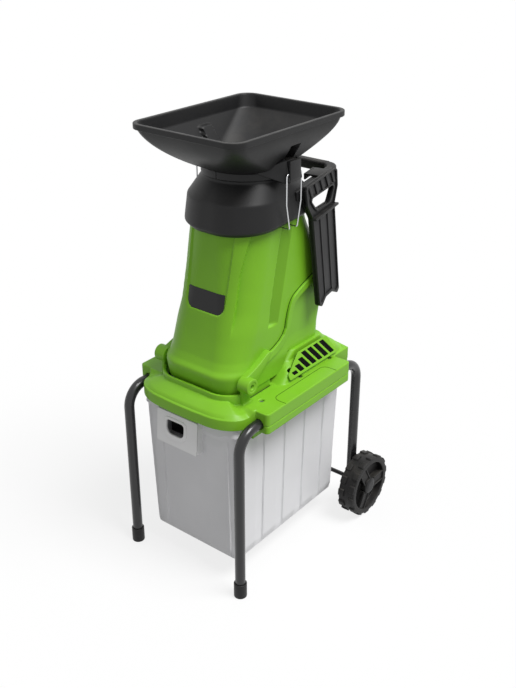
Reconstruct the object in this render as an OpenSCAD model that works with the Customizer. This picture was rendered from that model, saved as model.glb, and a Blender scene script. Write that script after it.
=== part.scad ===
// Electric garden shredder: a tilting green hood with a black feed hopper on a deck that two
// inverted-U tube frames carry, over a sliding collection box. Millimetres, +Z up, front at -Y.

/* [Frame] */
// Height of the hopper rim above the floor
overall_h = 960; // [900:5:1020]
// Outer diameter of the leg tube
tube_od = 22; // [18:1:28]
// Wall of the leg tube
tube_wall = 1.5; // [1:0.1:2.5]
// Bend radius of the leg tube at its centreline
bend_r = 45; // [38:1:60]
// Distance between the left and right tube centrelines
leg_track = 304; // [296:2:330]
// Distance between the front legs and the rear legs
wheel_base = 417; // [400:1:440]
// Height of the tube run that carries the deck
run_z = 396; // [380:1:420]
// Distance from the front legs back to the feed axis
feed_setback = 202; // [195:1:215]
// Outer diameter of a front foot
foot_od = 28; // [26:1:40]
// Height of a front foot
foot_h = 35; // [25:1:50]
// Thickness of a foot's floor
foot_floor = 6; // [3:0.5:10]

/* [Wheels] */
// Outer diameter of a wheel over its lugs
wheel_od = 150; // [130:1:180]
// Width of a wheel
wheel_w = 42; // [34:1:50]
// Height of a tread lug
lug_h = 3.5; // [2:0.5:6]
// Number of lugs along each edge of a wheel
lug_n = 14; // [10:1:26]
// Diameter of the wheel axle
axle_d = 10; // [8:0.5:14]
// Diameter of a wheel's hub
hub_d = 40; // [30:1:50]
// Depth of the pockets between a wheel's spokes
pocket_depth = 16; // [8:1:20]
// Thickness of an axle washer
washer_t = 1.6; // [1:0.1:3]

/* [Deck] */
// Width of the deck over its ears
deck_w = 350; // [344:2:380]
// Width of the deck ahead of the ears
nose_w = 256; // [248:2:262]
// Reach of the deck ahead of the feed axis
deck_front = 182; // [178:1:190]
// Reach of the deck behind the feed axis
deck_rear = 224; // [220:1:232]
// Width of the deck behind the ears
tail_w = 264; // [256:2:268]
// Bow of the deck's rear edge
tail_bow = 16; // [8:1:20]
// Front face of an ear, ahead of the feed axis
ear_front = 140; // [130:1:145]
// Rear face of an ear, behind the feed axis
ear_rear = 152; // [145:1:160]
// Height of the deck above the tube centre
deck_rise = 28; // [26:1:34]
// Depth of the deck below the tube centre
deck_drop = 18; // [16:1:20]
// Height of the nose crease above the tube centre
crease_rise = 9; // [6:0.5:12]
// Corner radius of the deck
deck_corner = 42; // [30:1:50]
// Wall of the deck shells
deck_wall = 3; // [2.5:0.1:4]
// Height of the knife chamber's floor above the tube centre
floor_rise = 21; // [20:0.5:23]
// Height of the lip round the hood's front above the tube centre
lip_rise = 39; // [34:1:41]
// Height of the motor plinth above the tube centre
plinth_rise = 78; // [70:1:84]
// Number of cooling slots in each side of the plinth
vent_n = 7; // [4:1:8]
// Width of a cooling slot
vent_w = 11; // [8:0.5:13]
// Height of the slotted slope's lower edge above the deck
vent_rise = 18; // [14:1:20]
// Height of the slotted slope
vent_h = 14; // [12:1:16]

/* [Collection box] */
// Height of the box floor's underside above the ground
box_z = 54; // [45:1:80]
// Width of the box at its floor
box_floor_w = 238; // [220:2:242]
// Width of the box below its rim
box_top_w = 252; // [246:1:254]
// Reach of the box floor ahead of the feed axis
box_front = 172; // [160:1:174]
// Reach of the box floor behind the feed axis
box_rear = 184; // [170:1:188]
// Widening of the box front and rear at the rim
box_flare = 7; // [3:1:9]
// Wall of the box
box_wall = 2.5; // [2:0.1:4]
// Depth of the raised side panels of the box
box_rib = 2; // [1:0.25:2.5]
// Overhang of the box rim
rim_out = 7; // [5:0.5:7.5]
// Width of the hand plate on the box front
plate_w = 112; // [100:1:130]
// Height of the hand plate
plate_h = 68; // [60:1:80]
// Distance of the hand plate's middle from the middle plane
plate_off = -21; // [-30:1:0]
// Width of the hand hole
hand_w = 46; // [40:1:60]
// Height of the hand hole
hand_h = 30; // [26:1:36]

/* [Hood] */
// Half width of the hood's flange
hood_half_w = 102; // [98:0.5:102]
// Reach of the hood's flange ahead of the feed axis
hood_front = 158; // [152:1:160]
// Height of the flange's lower edge above the tube centre
flange_rise = 42; // [41:0.5:46]
// Height of the flange
flange_h = 38; // [34:1:44]
// Half width of the hood at the collar
neck_half_w = 94; // [90:0.5:97]
// Reach of the hood at the collar ahead of the feed axis
neck_front = 103; // [98:1:106]
// Reach of the hood at the collar behind the feed axis
neck_rear = 118; // [112:1:122]
// Wall of the hood
hood_wall = 3; // [2.5:0.1:4]
// Depth of the recessed front panel
panel_depth = 2; // [1:0.25:2.2]
// Height of the raised edge along the motor cover
edge_h = 4; // [2:0.5:5]
// Width of the raised edge
edge_w = 13; // [8:1:16]
// Reach of the hinge axis ahead of the feed axis
hinge_front = 127; // [124:0.5:130]
// Height of the hinge axis above the tube centre
hinge_rise = 69; // [67:0.5:72]
// Radius of a hinge boss
boss_r = 16; // [14:0.5:18]
// Half distance over the outer ends of the hinge bosses
boss_end = 126; // [122:0.5:130]
// Diameter of a hinge pin
hinge_pin_d = 10; // [8:0.5:12]
// Diameter of the lock knob
knob_d = 46; // [36:1:54]

/* [Collar and hopper] */
// Height of the collar's lower edge below the hopper rim
collar_drop = 209; // [200:1:215]
// Height of the collar's straight part
collar_h = 62; // [54:1:70]
// Thickness of the collar over the hood's front and rear
collar_out = 12; // [9:0.5:13]
// Height of the neck ring's lower edge below the hopper rim
neck_drop = 107; // [104:0.5:112]
// Outer radius of the hopper's neck
neck_r = 87; // [84:0.5:90]
// Height of the neck ring
ring_h = 15; // [12:0.5:18]
// Distance of the neck's centre behind the feed axis
neck_y = 8; // [4:0.5:12]
// Width of the hopper over its rim
rim_w = 266; // [250:2:280]
// Length of the hopper over its rim
rim_l = 354; // [330:2:370]
// Height of the rim's lip
rim_h = 11; // [8:0.5:15]
// Overhang of the rim's lip
rim_lip = 8; // [5:0.5:10]
// Height of the upright band with the lip
band_h = 26; // [20:1:32]
// Wall of the hopper
hopper_wall = 3; // [2.5:0.1:4]
// Distance of the latches behind the feed axis
latch_y = 16; // [10:0.5:22]
// Width of a latch lever
lever_w = 34; // [28:1:36]
// Height of a latch lever
lever_h = 42; // [36:1:46]
// Diameter of the latch wire
wire_d = 3; // [2.5:0.1:4]
// Distance between a latch wire's legs at its top
bail_w = 46; // [42:1:50]
// Distance between a latch wire's legs at its tips
tip_w = 24; // [18:1:30]

/* [Handle and plunger] */
// Reach of the transport handle behind the feed axis
handle_rear = 222; // [212:1:232]
// Width of the transport handle across its front
handle_w = 208; // [204:1:214]
// Width of the transport handle across its back
handle_back_w = 168; // [150:2:178]
// Width of the handle's bar
bar_w = 18; // [14:1:22]
// Height of the handle's bar
bar_h = 20; // [16:1:24]
// Slope of the handle and the plunger, in degrees
handle_lean = 4.5; // [3:0.5:8]
// Width of the plunger's grip
grip_w = 136; // [120:2:150]
// Height of the plunger's grip
grip_h = 70; // [60:1:76]
// Width of the plunger's blade at its top
blade_w = 96; // [84:2:110]
// Width of the plunger's blade at its tip
blade_tip_w = 90; // [78:2:100]
// Length of the plunger's blade below its flange
blade_l = 194; // [180:2:210]
// Thickness of the plunger
plunger_t = 13; // [11:0.5:15]

/* [Drive] */
// Distance of the spindle ahead of the feed axis
spindle_front = 30; // [28:0.5:32]
// Diameter of the spindle
spindle_d = 15; // [12:0.5:17]
// Radius of the knife disc
disc_r = 74; // [66:0.5:76]
// Thickness of the knife disc
disc_t = 6; // [4:0.5:8]
// Distance of the motor behind the feed axis
motor_rear = 98; // [96:0.5:101]
// Outer radius of the motor can
motor_r = 38; // [34:0.5:39]
// Length of the motor can
motor_l = 82; // [70:1:86]
// Diameter of the motor shaft
shaft_d = 12; // [10:0.5:14]
// Pitch radius of the motor pulley
small_pulley_r = 18; // [16:0.5:20]
// Pitch radius of the driven pulley
big_pulley_r = 54; // [48:0.5:58]
// Width of the drive belt
belt_w = 9; // [7:0.5:10]
// Outer diameter of a spindle bearing
bearing_od = 32; // [28:0.5:35]
// Width of a spindle bearing
bearing_w = 9; // [8:0.5:9]

/* [Clearances] */
// Radial clearance of a turning fit
fit = 0.05; // [0.02:0.01:0.1]
// Gap at a seat
seat = 0.3; // [0.2:0.05:0.5]
// Gap between parts that pass each other
pass = 1.5; // [1:0.1:2.5]

/* [Hidden] */
$fn = 48;
CORNER_STEPS = 10;
green = [0.45, 0.72, 0.16];
black = [0.14, 0.14, 0.145];
steel = [0.72, 0.73, 0.74];
grey = [0.80, 0.81, 0.82];

// Places along the length: the origin is the middle of the box that holds the part
depth = foot_od / 2 + wheel_base + wheel_od / 2;
axis_y = -depth / 2 + foot_od / 2 + feed_setback;
leg_front = -feed_setback;
leg_rear = wheel_base - feed_setback;
axle_z = wheel_od / 2;
tube_r = tube_od / 2;
leg_x = leg_track / 2;

// Heights
deck_top = run_z + deck_rise;
deck_bottom = run_z - deck_drop;
crease_z = run_z + crease_rise;
floor_z = run_z + floor_rise;
lip_z = run_z + lip_rise;
plinth_z = run_z + plinth_rise;
flange_z = run_z + flange_rise;
flange_top = flange_z + flange_h;
hinge_y = -hinge_front;
hinge_z = run_z + hinge_rise;
collar_z = overall_h - collar_drop;
shoulder_z = collar_z + collar_h;
ring_z = overall_h - neck_drop;
hood_top = collar_z + 0.4 * collar_h;

// Points of a circular arc, from angle a to angle b
function arc(c, r, a, b, n) = [for (i = [0:n]) c + r * [cos(a + (b - a) * i / n), sin(a + (b - a) * i / n)]];

// A rounded outline of half width w from -f to b, with front corners rf and rear corners rb
function outline(w, f, b, rf, rb, n = CORNER_STEPS) = concat(
    arc([w - rf, rf - f], rf, -90, 0, n),
    arc([w - rb, b - rb], rb, 0, 90, n),
    arc([rb - w, b - rb], rb, 90, 180, n),
    arc([rf - w, rf - f], rf, 180, 270, n));

// A solid through sections [z, half width, front, rear, front corner, rear corner], grown by e,
// with its two ends moved outwards by over
module loft(sections, e = 0, over = 0, n = CORNER_STEPS) {
    last = len(sections) - 1;
    rings = [for (i = [0:last]) let (s = sections[i], z = s[0] + (i == 0 ? -over : i == last ? over : 0))
        [for (p = outline(s[1] + e, s[2] + e, s[3] + e, s[4] + e, s[5] + e, n)) [p.x, p.y, z]]];
    m = len(rings[0]);
    sides = [for (i = [0:last - 1]) for (j = [0:m - 1])
        let (a = i * m + j, b = i * m + (j + 1) % m)
        each [[a, a + m, b + m], [a, b + m, b]]];
    polyhedron([for (r = rings) each r],
        concat([[for (j = [0:m - 1]) j]], sides, [[for (j = [m - 1:-1:0]) last * m + j]]));
}

// A rounded outline raised from height a to height b
module slab(a, b, w, f, r, rf, rb) {
    translate([0, 0, a]) linear_extrude(b - a) polygon(outline(w, f, r, rf, rb));
}

// A block from corner p to corner q
module block(p, q) {
    translate(p) cube(q - p);
}

// A cylinder along X from a to b
module rod_x(a, b, r) {
    translate([a, 0, 0]) rotate([0, 90, 0]) cylinder(h = b - a, r = r);
}

// A cylinder along Y from a to b
module rod_y(a, b, r) {
    translate([0, a, 0]) rotate([-90, 0, 0]) cylinder(h = b - a, r = r);
}

// A tube from height a to height b
module pipe(a, b, r, bore) {
    translate([0, 0, a]) difference() {
        cylinder(h = b - a, r = r);
        translate([0, 0, -1]) cylinder(h = b - a + 2, r = bore);
    }
}

// An outline in the Y-Z plane, extruded along X from a to b
module side_plate(a, b, points) {
    translate([a, 0, 0]) rotate([90, 0, 90]) linear_extrude(b - a) polygon(points);
}

module on_axis() { translate([0, axis_y, 0]) children(); }
module both_sides() { children(); mirror([1, 0, 0]) children(); }
module at_hinge() { translate([0, hinge_y, hinge_z]) children(); }

// Legs, feet and wheels
rear_end_z = axle_z - 26;
module leg_path(r) {
    run_a = leg_front + bend_r;
    run_b = leg_rear - bend_r;
    translate([0, leg_front, foot_floor + seat]) cylinder(h = run_z - bend_r - foot_floor - seat, r = r);
    translate([0, leg_rear, rear_end_z]) cylinder(h = run_z - bend_r - rear_end_z, r = r);
    translate([0, 0, run_z]) rod_y(run_a, run_b, r);
    translate([0, run_a, run_z - bend_r]) rotate([90, 0, -90])
        rotate_extrude(angle = 90) translate([bend_r, 0]) circle(r);
    translate([0, run_b, run_z - bend_r]) rotate([90, 0, 90])
        rotate_extrude(angle = 90) translate([bend_r, 0]) circle(r);
}

module leg_frame(side) {
    on_axis() translate([side * leg_x, 0, 0]) difference() {
        leg_path(tube_r);
        leg_path(tube_r - tube_wall);
        translate([0, leg_front, 0]) cylinder(h = foot_floor + seat + 1, r = tube_r - tube_wall);
        translate([0, leg_rear, rear_end_z - 1]) cylinder(h = 2, r = tube_r - tube_wall);
        translate([0, leg_rear, axle_z]) rod_x(-tube_od, tube_od, axle_d / 2 + fit);
    }
}
module left_leg_frame() { color(black) leg_frame(-1); }
module right_leg_frame() { color(black) leg_frame(1); }

module front_feet() {
    color(black) on_axis() both_sides() translate([leg_x, leg_front, 0]) difference() {
        cylinder(h = foot_h, r = foot_od / 2);
        translate([0, 0, foot_floor]) cylinder(h = foot_h, r = tube_r + fit);
    }
}

plug_flange = 3;
plug_l = 12;
module leg_end_plugs() {
    color(black) on_axis() both_sides() translate([leg_x, leg_rear, rear_end_z]) {
        translate([0, 0, -plug_flange]) cylinder(h = plug_flange, r = tube_r);
        cylinder(h = plug_l, r = tube_r - tube_wall - fit);
    }
}

wheel_in = leg_x + tube_r + seat + washer_t + seat;
wheel_out = wheel_in + wheel_w;
hub_recess = 8;
clip_t = 1.5;
axle_end = wheel_out - hub_recess + clip_t + 2;
module axle() {
    color(black) on_axis() translate([0, leg_rear, axle_z]) rod_x(-axle_end, axle_end, axle_d / 2);
}

module axle_washers() {
    color(steel) on_axis() both_sides() translate([leg_x + tube_r + seat, leg_rear, axle_z])
        rotate([0, 90, 0]) pipe(0, washer_t, axle_d, axle_d / 2 + fit);
}

module axle_clips() {
    color(steel) on_axis() both_sides() translate([wheel_out - hub_recess + seat, leg_rear, axle_z])
        rotate([0, 90, 0]) pipe(0, clip_t, axle_d / 2 + 4, axle_d / 2 + fit);
}

lug_band = wheel_w * 0.36;
pocket_in_r = hub_d / 2;
pocket_out_r = wheel_od / 2 - 16;
spoke_w = 26;
function lug_ring(turn) = let (r = wheel_od / 2, p = 360 / lug_n) [for (i = [0:lug_n - 1])
    let (a = i * p + turn)
    each [for (q = [[0, r - lug_h], [0.08, r], [0.55, r], [0.63, r - lug_h]])
        q[1] * [cos(a + q[0] * p), sin(a + q[0] * p)]]];

module wheel() {
    difference() {
        union() {
            translate([0, 0, lug_band]) cylinder(h = wheel_w - 2 * lug_band, r = wheel_od / 2 - lug_h);
            linear_extrude(lug_band) polygon(lug_ring(0));
            translate([0, 0, wheel_w - lug_band]) linear_extrude(lug_band) polygon(lug_ring(180 / lug_n));
        }
        translate([0, 0, -1]) cylinder(h = wheel_w + 2, r = axle_d / 2 + fit);
        translate([0, 0, wheel_w - hub_recess]) cylinder(h = hub_recess + 1, r = hub_d / 2 - 4);
        for (face = [[wheel_w - pocket_depth, wheel_w + 1], [-1, pocket_depth - 4]]) difference() {
            pipe(face[0], face[1], pocket_out_r, pocket_in_r);
            for (k = [0:2]) rotate([0, 0, 120 * k + 90])
                block([0, -spoke_w / 2, face[0] - 1], [wheel_od, spoke_w / 2, face[1] + 1]);
        }
    }
}
module placed_wheel() { on_axis() translate([wheel_in, leg_rear, axle_z]) rotate([0, 90, 0]) wheel(); }
module right_wheel() { color(black) placed_wheel(); }
module left_wheel() { color(black) mirror([1, 0, 0]) placed_wheel(); }

cap_rise = 2.5;
module hub_cap() {
    on_axis() translate([wheel_out, leg_rear, axle_z]) rotate([0, 90, 0]) difference() {
        union() {
            translate([0, 0, seat - hub_recess]) cylinder(h = hub_recess, r = hub_d / 2 - 4 - fit);
            translate([0, 0, seat]) cylinder(h = cap_rise, r = hub_d / 2 - 2);
        }
        translate([0, 0, -hub_recess]) cylinder(h = hub_recess - 1.5, r = axle_d / 2 + 5);
    }
}
module right_hub_cap() { color(black) hub_cap(); }
module left_hub_cap() { color(black) mirror([1, 0, 0]) hub_cap(); }

// Deck
ear_x = deck_w / 2;
nose_x = nose_w / 2;
ear_inner = leg_x - tube_r - 12;
channel_r = tube_r + seat;
ear_corner = 8;
ear_fillet = 22;
cavity_x = ear_inner - 14;
cavity_rear = deck_rear - tail_bow - deck_wall;
duct_x = 72;
duct_front = hood_front - 8;
duct_rear = spindle_front + disc_r + 8;
screw_x = (cavity_x + leg_x - channel_r) / 2;
screw_ys = [40 - ear_front, 30, ear_rear - 14];
screw_r = 2;
screw_head_r = 4.5;
screw_head_h = 3;
screw_sink = 6;
screw_l = 34;

// The nose runs into the front of the ears in a round hollow
module ear_fillets(a, b) {
    both_sides() translate([nose_x, -ear_front - ear_fillet, a]) linear_extrude(b - a) difference() {
        translate([-1, 0]) square([ear_fillet + 1, ear_fillet + ear_corner]);
        translate([ear_fillet, 0]) circle(ear_fillet);
        translate([ear_fillet, -1]) square([1, ear_fillet + ear_corner + 2]);
    }
}

// The deck behind the ears ends in a bowed edge
module tail(a, b) {
    bow_r = (pow(tail_w / 2, 2) + pow(tail_bow, 2)) / (2 * tail_bow);
    intersection() {
        slab(a, b, tail_w / 2, 0, deck_rear, ear_corner, ear_corner);
        translate([0, deck_rear - bow_r, a]) cylinder(h = b - a, r = bow_r, $fn = 200);
    }
}

module deck_cavity(a, b) {
    slab(a, b, cavity_x, deck_front - deck_wall, cavity_rear, deck_corner - deck_wall, deck_corner - deck_wall);
}

module tube_channels() {
    both_sides() translate([leg_x, 0, run_z]) rod_y(-ear_front - ear_fillet, ear_rear + 1, channel_r);
}

module at_screws() {
    both_sides() for (y = screw_ys) translate([screw_x, y, 0]) children();
}

// The rails that the box rim hangs in are part of the lower shell
rail_z = deck_bottom - 23;
rail_t = 3;
rail_in = box_top_w / 2 + pass;
rail_out = box_top_w / 2 + rim_out + pass;
module rail() {
    block([rail_in, -ear_front, rail_z], [rail_out + rail_t, ear_rear, rail_z + rail_t]);
    block([rail_out, -ear_front, rail_z], [rail_out + rail_t, ear_rear, deck_bottom + rail_t]);
}

module base_lower() {
    color(green) on_axis() difference() {
        union() {
            difference() {
                union() {
                    slab(deck_bottom, run_z, nose_x, deck_front, ear_rear, deck_corner, ear_corner);
                    ear_fillets(deck_bottom, run_z);
                    slab(deck_bottom, run_z, ear_x, ear_front, ear_rear, ear_corner, ear_corner);
                    tail(deck_bottom, run_z);
                }
                deck_cavity(deck_bottom + deck_wall, run_z + 1);
            }
            block([-duct_x - deck_wall, -duct_front - deck_wall, deck_bottom],
                [duct_x + deck_wall, -duct_rear + deck_wall, floor_z - deck_wall - seat]);
            both_sides() rail();
        }
        block([-duct_x, -duct_front, deck_bottom - 1], [duct_x, -duct_rear, floor_z]);
        tube_channels();
        at_screws() translate([0, 0, deck_top - screw_sink - screw_l - 1])
            cylinder(h = screw_l + 2, r = screw_r + fit);
    }
}

// Outline of the hood's flange, grown by e
flange_corner = 52;
module flange_plan(a, b, e) {
    slab(a, b, hood_half_w + e, hood_front + e, deck_rear, flange_corner + e, 20);
}

lip_t = 5;
lug_in = hood_half_w + pass;
lug_t = 8;
lug_r = 12;
plinth_half_w = nose_x;
plinth_top_w = 104;
vent_low_w = nose_x - 3;
vent_z = deck_top + vent_rise;
plinth_front = 30;
plinth_step = 34;
plinth_rear = deck_rear - 12;
plinth_top_rear = 150;
plinth_corner = 14;
plinth_rear_corner = 40;
motor_hole_r = motor_r + 3;
lock_edge = 14;
lock_y = motor_rear + motor_r + 50;
lock_pad_w = 44;
pad_front = motor_rear + motor_r + 8;
chamber_r = disc_r + 4;
knob_hole_r = 6;

// A section of the plinth at height z: its front and rear slope, its half width is w
function plinth_section(z, w) = let (t = (z - deck_top) / (plinth_z - deck_top)) [z, w,
    plinth_front - t * (plinth_front + plinth_step), plinth_rear - t * (plinth_rear - plinth_top_rear),
    plinth_corner, plinth_rear_corner * (1 - t / 2)];
module plinth(e, drop = 0) {
    loft([
        plinth_section(deck_top - 1, plinth_half_w),
        plinth_section(vent_z - drop, vent_low_w),
        plinth_section(vent_z + vent_h - drop, plinth_top_w + 1),
        plinth_section(plinth_z, plinth_top_w)
    ], e);
}

// Cooling slots through the plinth's side slopes, longer towards the rear
module vents() {
    pitch = (plinth_top_rear - 6) / vent_n;
    in_x = plinth_top_w + 3;
    out_x = vent_low_w - 2;
    both_sides() for (i = [0:vent_n - 1]) let (short = 0.6 * (1 - (i + 1) / vent_n), y = pitch * (i + 0.3))
        block([in_x + (out_x - in_x) * short, y - vent_w / 2, vent_z - deck_wall - 2],
            [out_x, y + vent_w / 2, vent_z + vent_h + deck_wall]);
}

module hinge_lug(r) {
    translate([lug_in, 0, 0]) {
        at_hinge() rod_x(0, lug_t, r);
        block([0, hinge_y - r, floor_z], [lug_t, hinge_y + r, hinge_z]);
    }
}

module base_upper() {
    nose_run = deck_front - 120;
    slope = atan((deck_top - crease_z) / nose_run);
    color(green) on_axis() difference() {
        union() {
            difference() {
                union() {
                    slab(run_z, deck_top, nose_x, deck_front, ear_rear, deck_corner, ear_corner);
                    ear_fillets(run_z, deck_top);
                }
                translate([0, -deck_front, crease_z]) rotate([slope, 0, 0])
                    block([-nose_w, -50, 0], [nose_w, nose_run / cos(slope), 60]);
            }
            slab(run_z, deck_top, ear_x, ear_front, ear_rear, ear_corner, ear_corner);
            tail(run_z, deck_top);
            intersection() {
                difference() {
                    flange_plan(crease_z - 6, lip_z, pass + lip_t);
                    flange_plan(crease_z - 7, lip_z + 1, pass);
                }
                block([-nose_w, -deck_front, 0], [nose_w, hinge_y + lug_r, overall_h]);
            }
            both_sides() hinge_lug(lug_r);
            plinth(0);
            block([-lock_pad_w / 2, pad_front, deck_top - 1], [lock_pad_w / 2, lock_y + lock_edge, plinth_z]);
        }
        // The deck's cavity below the chamber floor, and the motor room in the plinth above it
        slab(run_z - 1, floor_z - deck_wall, cavity_x, hood_front - 4, cavity_rear, deck_corner, deck_corner);
        difference() {
            plinth(-deck_wall, deck_wall / 2);
            block([-nose_w, -deck_front, 0], [nose_w, deck_rear, floor_z]);
            block([-nose_w, -deck_front, plinth_z - deck_wall], [nose_w, deck_rear, overall_h]);
            block([-lock_pad_w / 2, pad_front, 0], [lock_pad_w / 2, deck_rear, overall_h]);
            switch_pocket(deck_wall + seat, 0);
            translate([0, -spindle_front, 0]) cylinder(h = overall_h, r = chamber_r + deck_wall);
        }
        // The chamber well inside the hood
        intersection() {
            flange_plan(floor_z, deck_top + 1, pass);
            block([-nose_w, -deck_front, 0], [nose_w, -plinth_front - 8, overall_h]);
        }
        block([-duct_x, -duct_front, run_z - 1], [duct_x, -duct_rear, floor_z + 1]);
        translate([0, -spindle_front, floor_z]) cylinder(h = overall_h, r = chamber_r);
        translate([0, -spindle_front, 0]) cylinder(h = overall_h, r = housing_r + seat);
        translate([0, motor_rear, 0]) cylinder(h = can_z + 1, r = shaft_d);
        translate([0, motor_rear, can_z]) cylinder(h = overall_h, r = motor_hole_r);
        at_hinge() both_sides() rod_x(lug_in - 1, lug_in + lug_t + 1, hinge_pin_d / 2 + fit);
        switch_pocket(seat, deck_top);
        translate([0, lock_y, plinth_z - 20]) cylinder(h = 40, r = knob_hole_r);
        tube_channels();
        vents();
        at_screws() {
            translate([0, 0, deck_top - screw_sink]) cylinder(h = overall_h, r = screw_head_r + 1);
            translate([0, 0, run_z - 1]) cylinder(h = deck_rise, r = screw_r + fit);
        }
    }
}

module base_screws() {
    color(steel) on_axis() at_screws() translate([0, 0, deck_top - screw_sink]) difference() {
        union() {
            translate([0, 0, -screw_l]) cylinder(h = screw_l, r = screw_r);
            cylinder(h = screw_head_h, r = screw_head_r);
        }
        block([-3, -0.6, screw_head_h - 1.2], [3, 0.6, screw_head_h + 1]);
        block([-0.6, -3, screw_head_h - 1.2], [0.6, 3, screw_head_h + 1]);
    }
}

pin_out = boss_end - 6;
module hinge_pins() {
    color(steel) on_axis() at_hinge() both_sides() rod_x(lug_in - 0.5, pin_out, hinge_pin_d / 2);
}

// Collection box
box_top = rail_z + rail_t + seat + 10;
rim_z = rail_z + rail_t + seat;
rim_t = 4;
box_corner = 14;
box_sections = [
    [box_z, box_floor_w / 2, box_front, box_rear, box_corner, box_corner],
    [rim_z, box_top_w / 2, box_front + box_flare, box_rear + box_flare, box_corner, box_corner],
    [box_top, box_top_w / 2, box_front + box_flare, box_rear + box_flare, box_corner, box_corner]
];
plate_y = -(box_front + box_flare + 13);
plate_top = box_top;
hand_x = plate_off - 4;
hand_z = plate_top - 13 - hand_h / 2;

module hand_plan(e) {
    r = hand_h / 2 - 3;
    polygon(outline(hand_w / 2 + e, hand_h / 2 + e, hand_h / 2 + e, r + e, 6 + e));
}

module at_hand(y, l) {
    translate([hand_x, y, hand_z]) rotate([90, 0, 0]) translate([0, 0, -l]) linear_extrude(l) children();
}

module collection_box() {
    panel_n = 5;
    span = box_front + box_rear;
    color(grey) on_axis() difference() {
        union() {
            loft(box_sections);
            intersection() {
                loft(box_sections, box_rib);
                for (i = [0:panel_n - 1])
                    block([-deck_w, -box_front + span * (i + 0.16) / panel_n, box_z + 12],
                        [deck_w, -box_front + span * (i + 0.84) / panel_n, rim_z - 14]);
            }
            slab(rim_z, rim_z + rim_t, box_top_w / 2 + rim_out, box_front + box_flare + rim_out,
                box_rear + box_flare, box_corner + rim_out, box_corner);
            block([plate_off - plate_w / 2, plate_y, plate_top - plate_h],
                [plate_off + plate_w / 2, -box_front, plate_top]);
            at_hand(plate_y - 2, 4) hand_plan(6);
        }
        difference() {
            loft([
                [box_z + box_wall, box_sections[0][1], box_front, box_rear, box_corner, box_corner],
                box_sections[1],
                [box_top + 1, box_top_w / 2, box_front + box_flare, box_rear + box_flare,
                    box_corner, box_corner]
            ], -box_wall);
            // Grip pocket behind the hand hole
            block([plate_off - plate_w / 2, -deck_front, plate_top - plate_h],
                [plate_off + plate_w / 2, -box_front + 20, overall_h]);
        }
        block([plate_off - plate_w / 2 + box_wall, plate_y + box_wall, plate_top - plate_h + box_wall],
            [plate_off + plate_w / 2 - box_wall, -box_front + 20 - box_wall, plate_top + 1]);
        at_hand(plate_y - 3, 3 + box_wall + 1) hand_plan(0);
    }
}

// Knife chamber and drive
plate_t = 3;
chamber_top = floor_z + plate_t;
housing_r = bearing_od / 2 + 6;
housing_flange_r = housing_r + 12;
bearing_z = [floor_z - 13, chamber_top + 2];
disc_z = chamber_top + 18;
knife_t = 4;
spindle_end = disc_z + disc_t + 14;
pulley_h = belt_w + 3;
pulley_z = deck_bottom + deck_wall + 4;
housing_floor = bearing_z[0] - 2;
spindle_low = pulley_z - 1;

module at_spindle() { on_axis() translate([0, -spindle_front, 0]) children(); }
module at_motor() { on_axis() translate([0, motor_rear, 0]) children(); }

module chamber_plate() {
    color(steel) on_axis() difference() {
        intersection() {
            flange_plan(floor_z, chamber_top, -pass);
            union() {
                block([-nose_w, -deck_front, 0], [nose_w, -plinth_front - 8 - seat, overall_h]);
                translate([0, -spindle_front, 0]) cylinder(h = overall_h, r = chamber_r - seat);
            }
        }
        block([-duct_x, -duct_front, floor_z - 1], [duct_x, -duct_rear, chamber_top + 1]);
        translate([0, -spindle_front, 0]) cylinder(h = overall_h, r = housing_r + seat);
    }
}

module bearing_housing() {
    color("silver") at_spindle() difference() {
        union() {
            translate([0, 0, housing_floor])
                cylinder(h = bearing_z[1] + bearing_w - housing_floor, r = housing_r);
            translate([0, 0, chamber_top]) cylinder(h = plate_t + 1, r = housing_flange_r);
        }
        for (z = bearing_z) translate([0, 0, z]) cylinder(h = bearing_w + 1, r = bearing_od / 2 + fit);
        translate([0, 0, bearing_z[1]]) cylinder(h = overall_h, r = bearing_od / 2 + fit);
        cylinder(h = overall_h, r = bearing_od / 2 - 3);
    }
}

module spindle_bearings() {
    color(steel) at_spindle() for (z = bearing_z)
        pipe(z, z + bearing_w, bearing_od / 2, spindle_d / 2 + fit);
}

thread_r = spindle_d / 2 - 1.5;
module spindle() {
    color(steel) at_spindle() {
        translate([0, 0, spindle_low]) cylinder(h = disc_z - spindle_low, r = spindle_d / 2);
        translate([0, 0, bearing_z[1] + bearing_w + seat])
            cylinder(h = disc_z - bearing_z[1] - bearing_w - seat, r = spindle_d / 2 + 4);
        translate([0, 0, disc_z]) cylinder(h = spindle_end - disc_z, r = thread_r);
    }
}

knife_reach = disc_r - 6;
knife_w = 22;
knife_in = 22;
bolt_rs = [knife_in + 12, knife_reach - 12];
bolt_r = 3;
module at_knives() { for (a = [0, 180]) rotate([0, 0, a]) children(); }
module at_bolts() { at_knives() for (r = bolt_rs) translate([r, 0, 0]) children(); }

module knife_disc() {
    color(steel) at_spindle() translate([0, 0, disc_z]) difference() {
        cylinder(h = disc_t, r = disc_r);
        translate([0, 0, -1]) cylinder(h = disc_t + 2, r = thread_r + fit);
        at_knives() block([knife_in, -knife_w / 2 - 9, -1], [knife_reach, -knife_w / 2 - 1, disc_t + 1]);
        at_bolts() translate([0, 0, -1]) cylinder(h = disc_t + 2, r = bolt_r + fit);
    }
}

module knives() {
    color("gainsboro") at_spindle() translate([0, 0, disc_z + disc_t]) difference() {
        at_knives() side_plate(knife_in, knife_reach, [[-knife_w / 2 - 4, knife_t], [-knife_w / 2, 0],
            [knife_w / 2, 0], [knife_w / 2, knife_t]]);
        at_bolts() translate([0, 0, -1]) cylinder(h = knife_t + 2, r = bolt_r + fit);
    }
}

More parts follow.
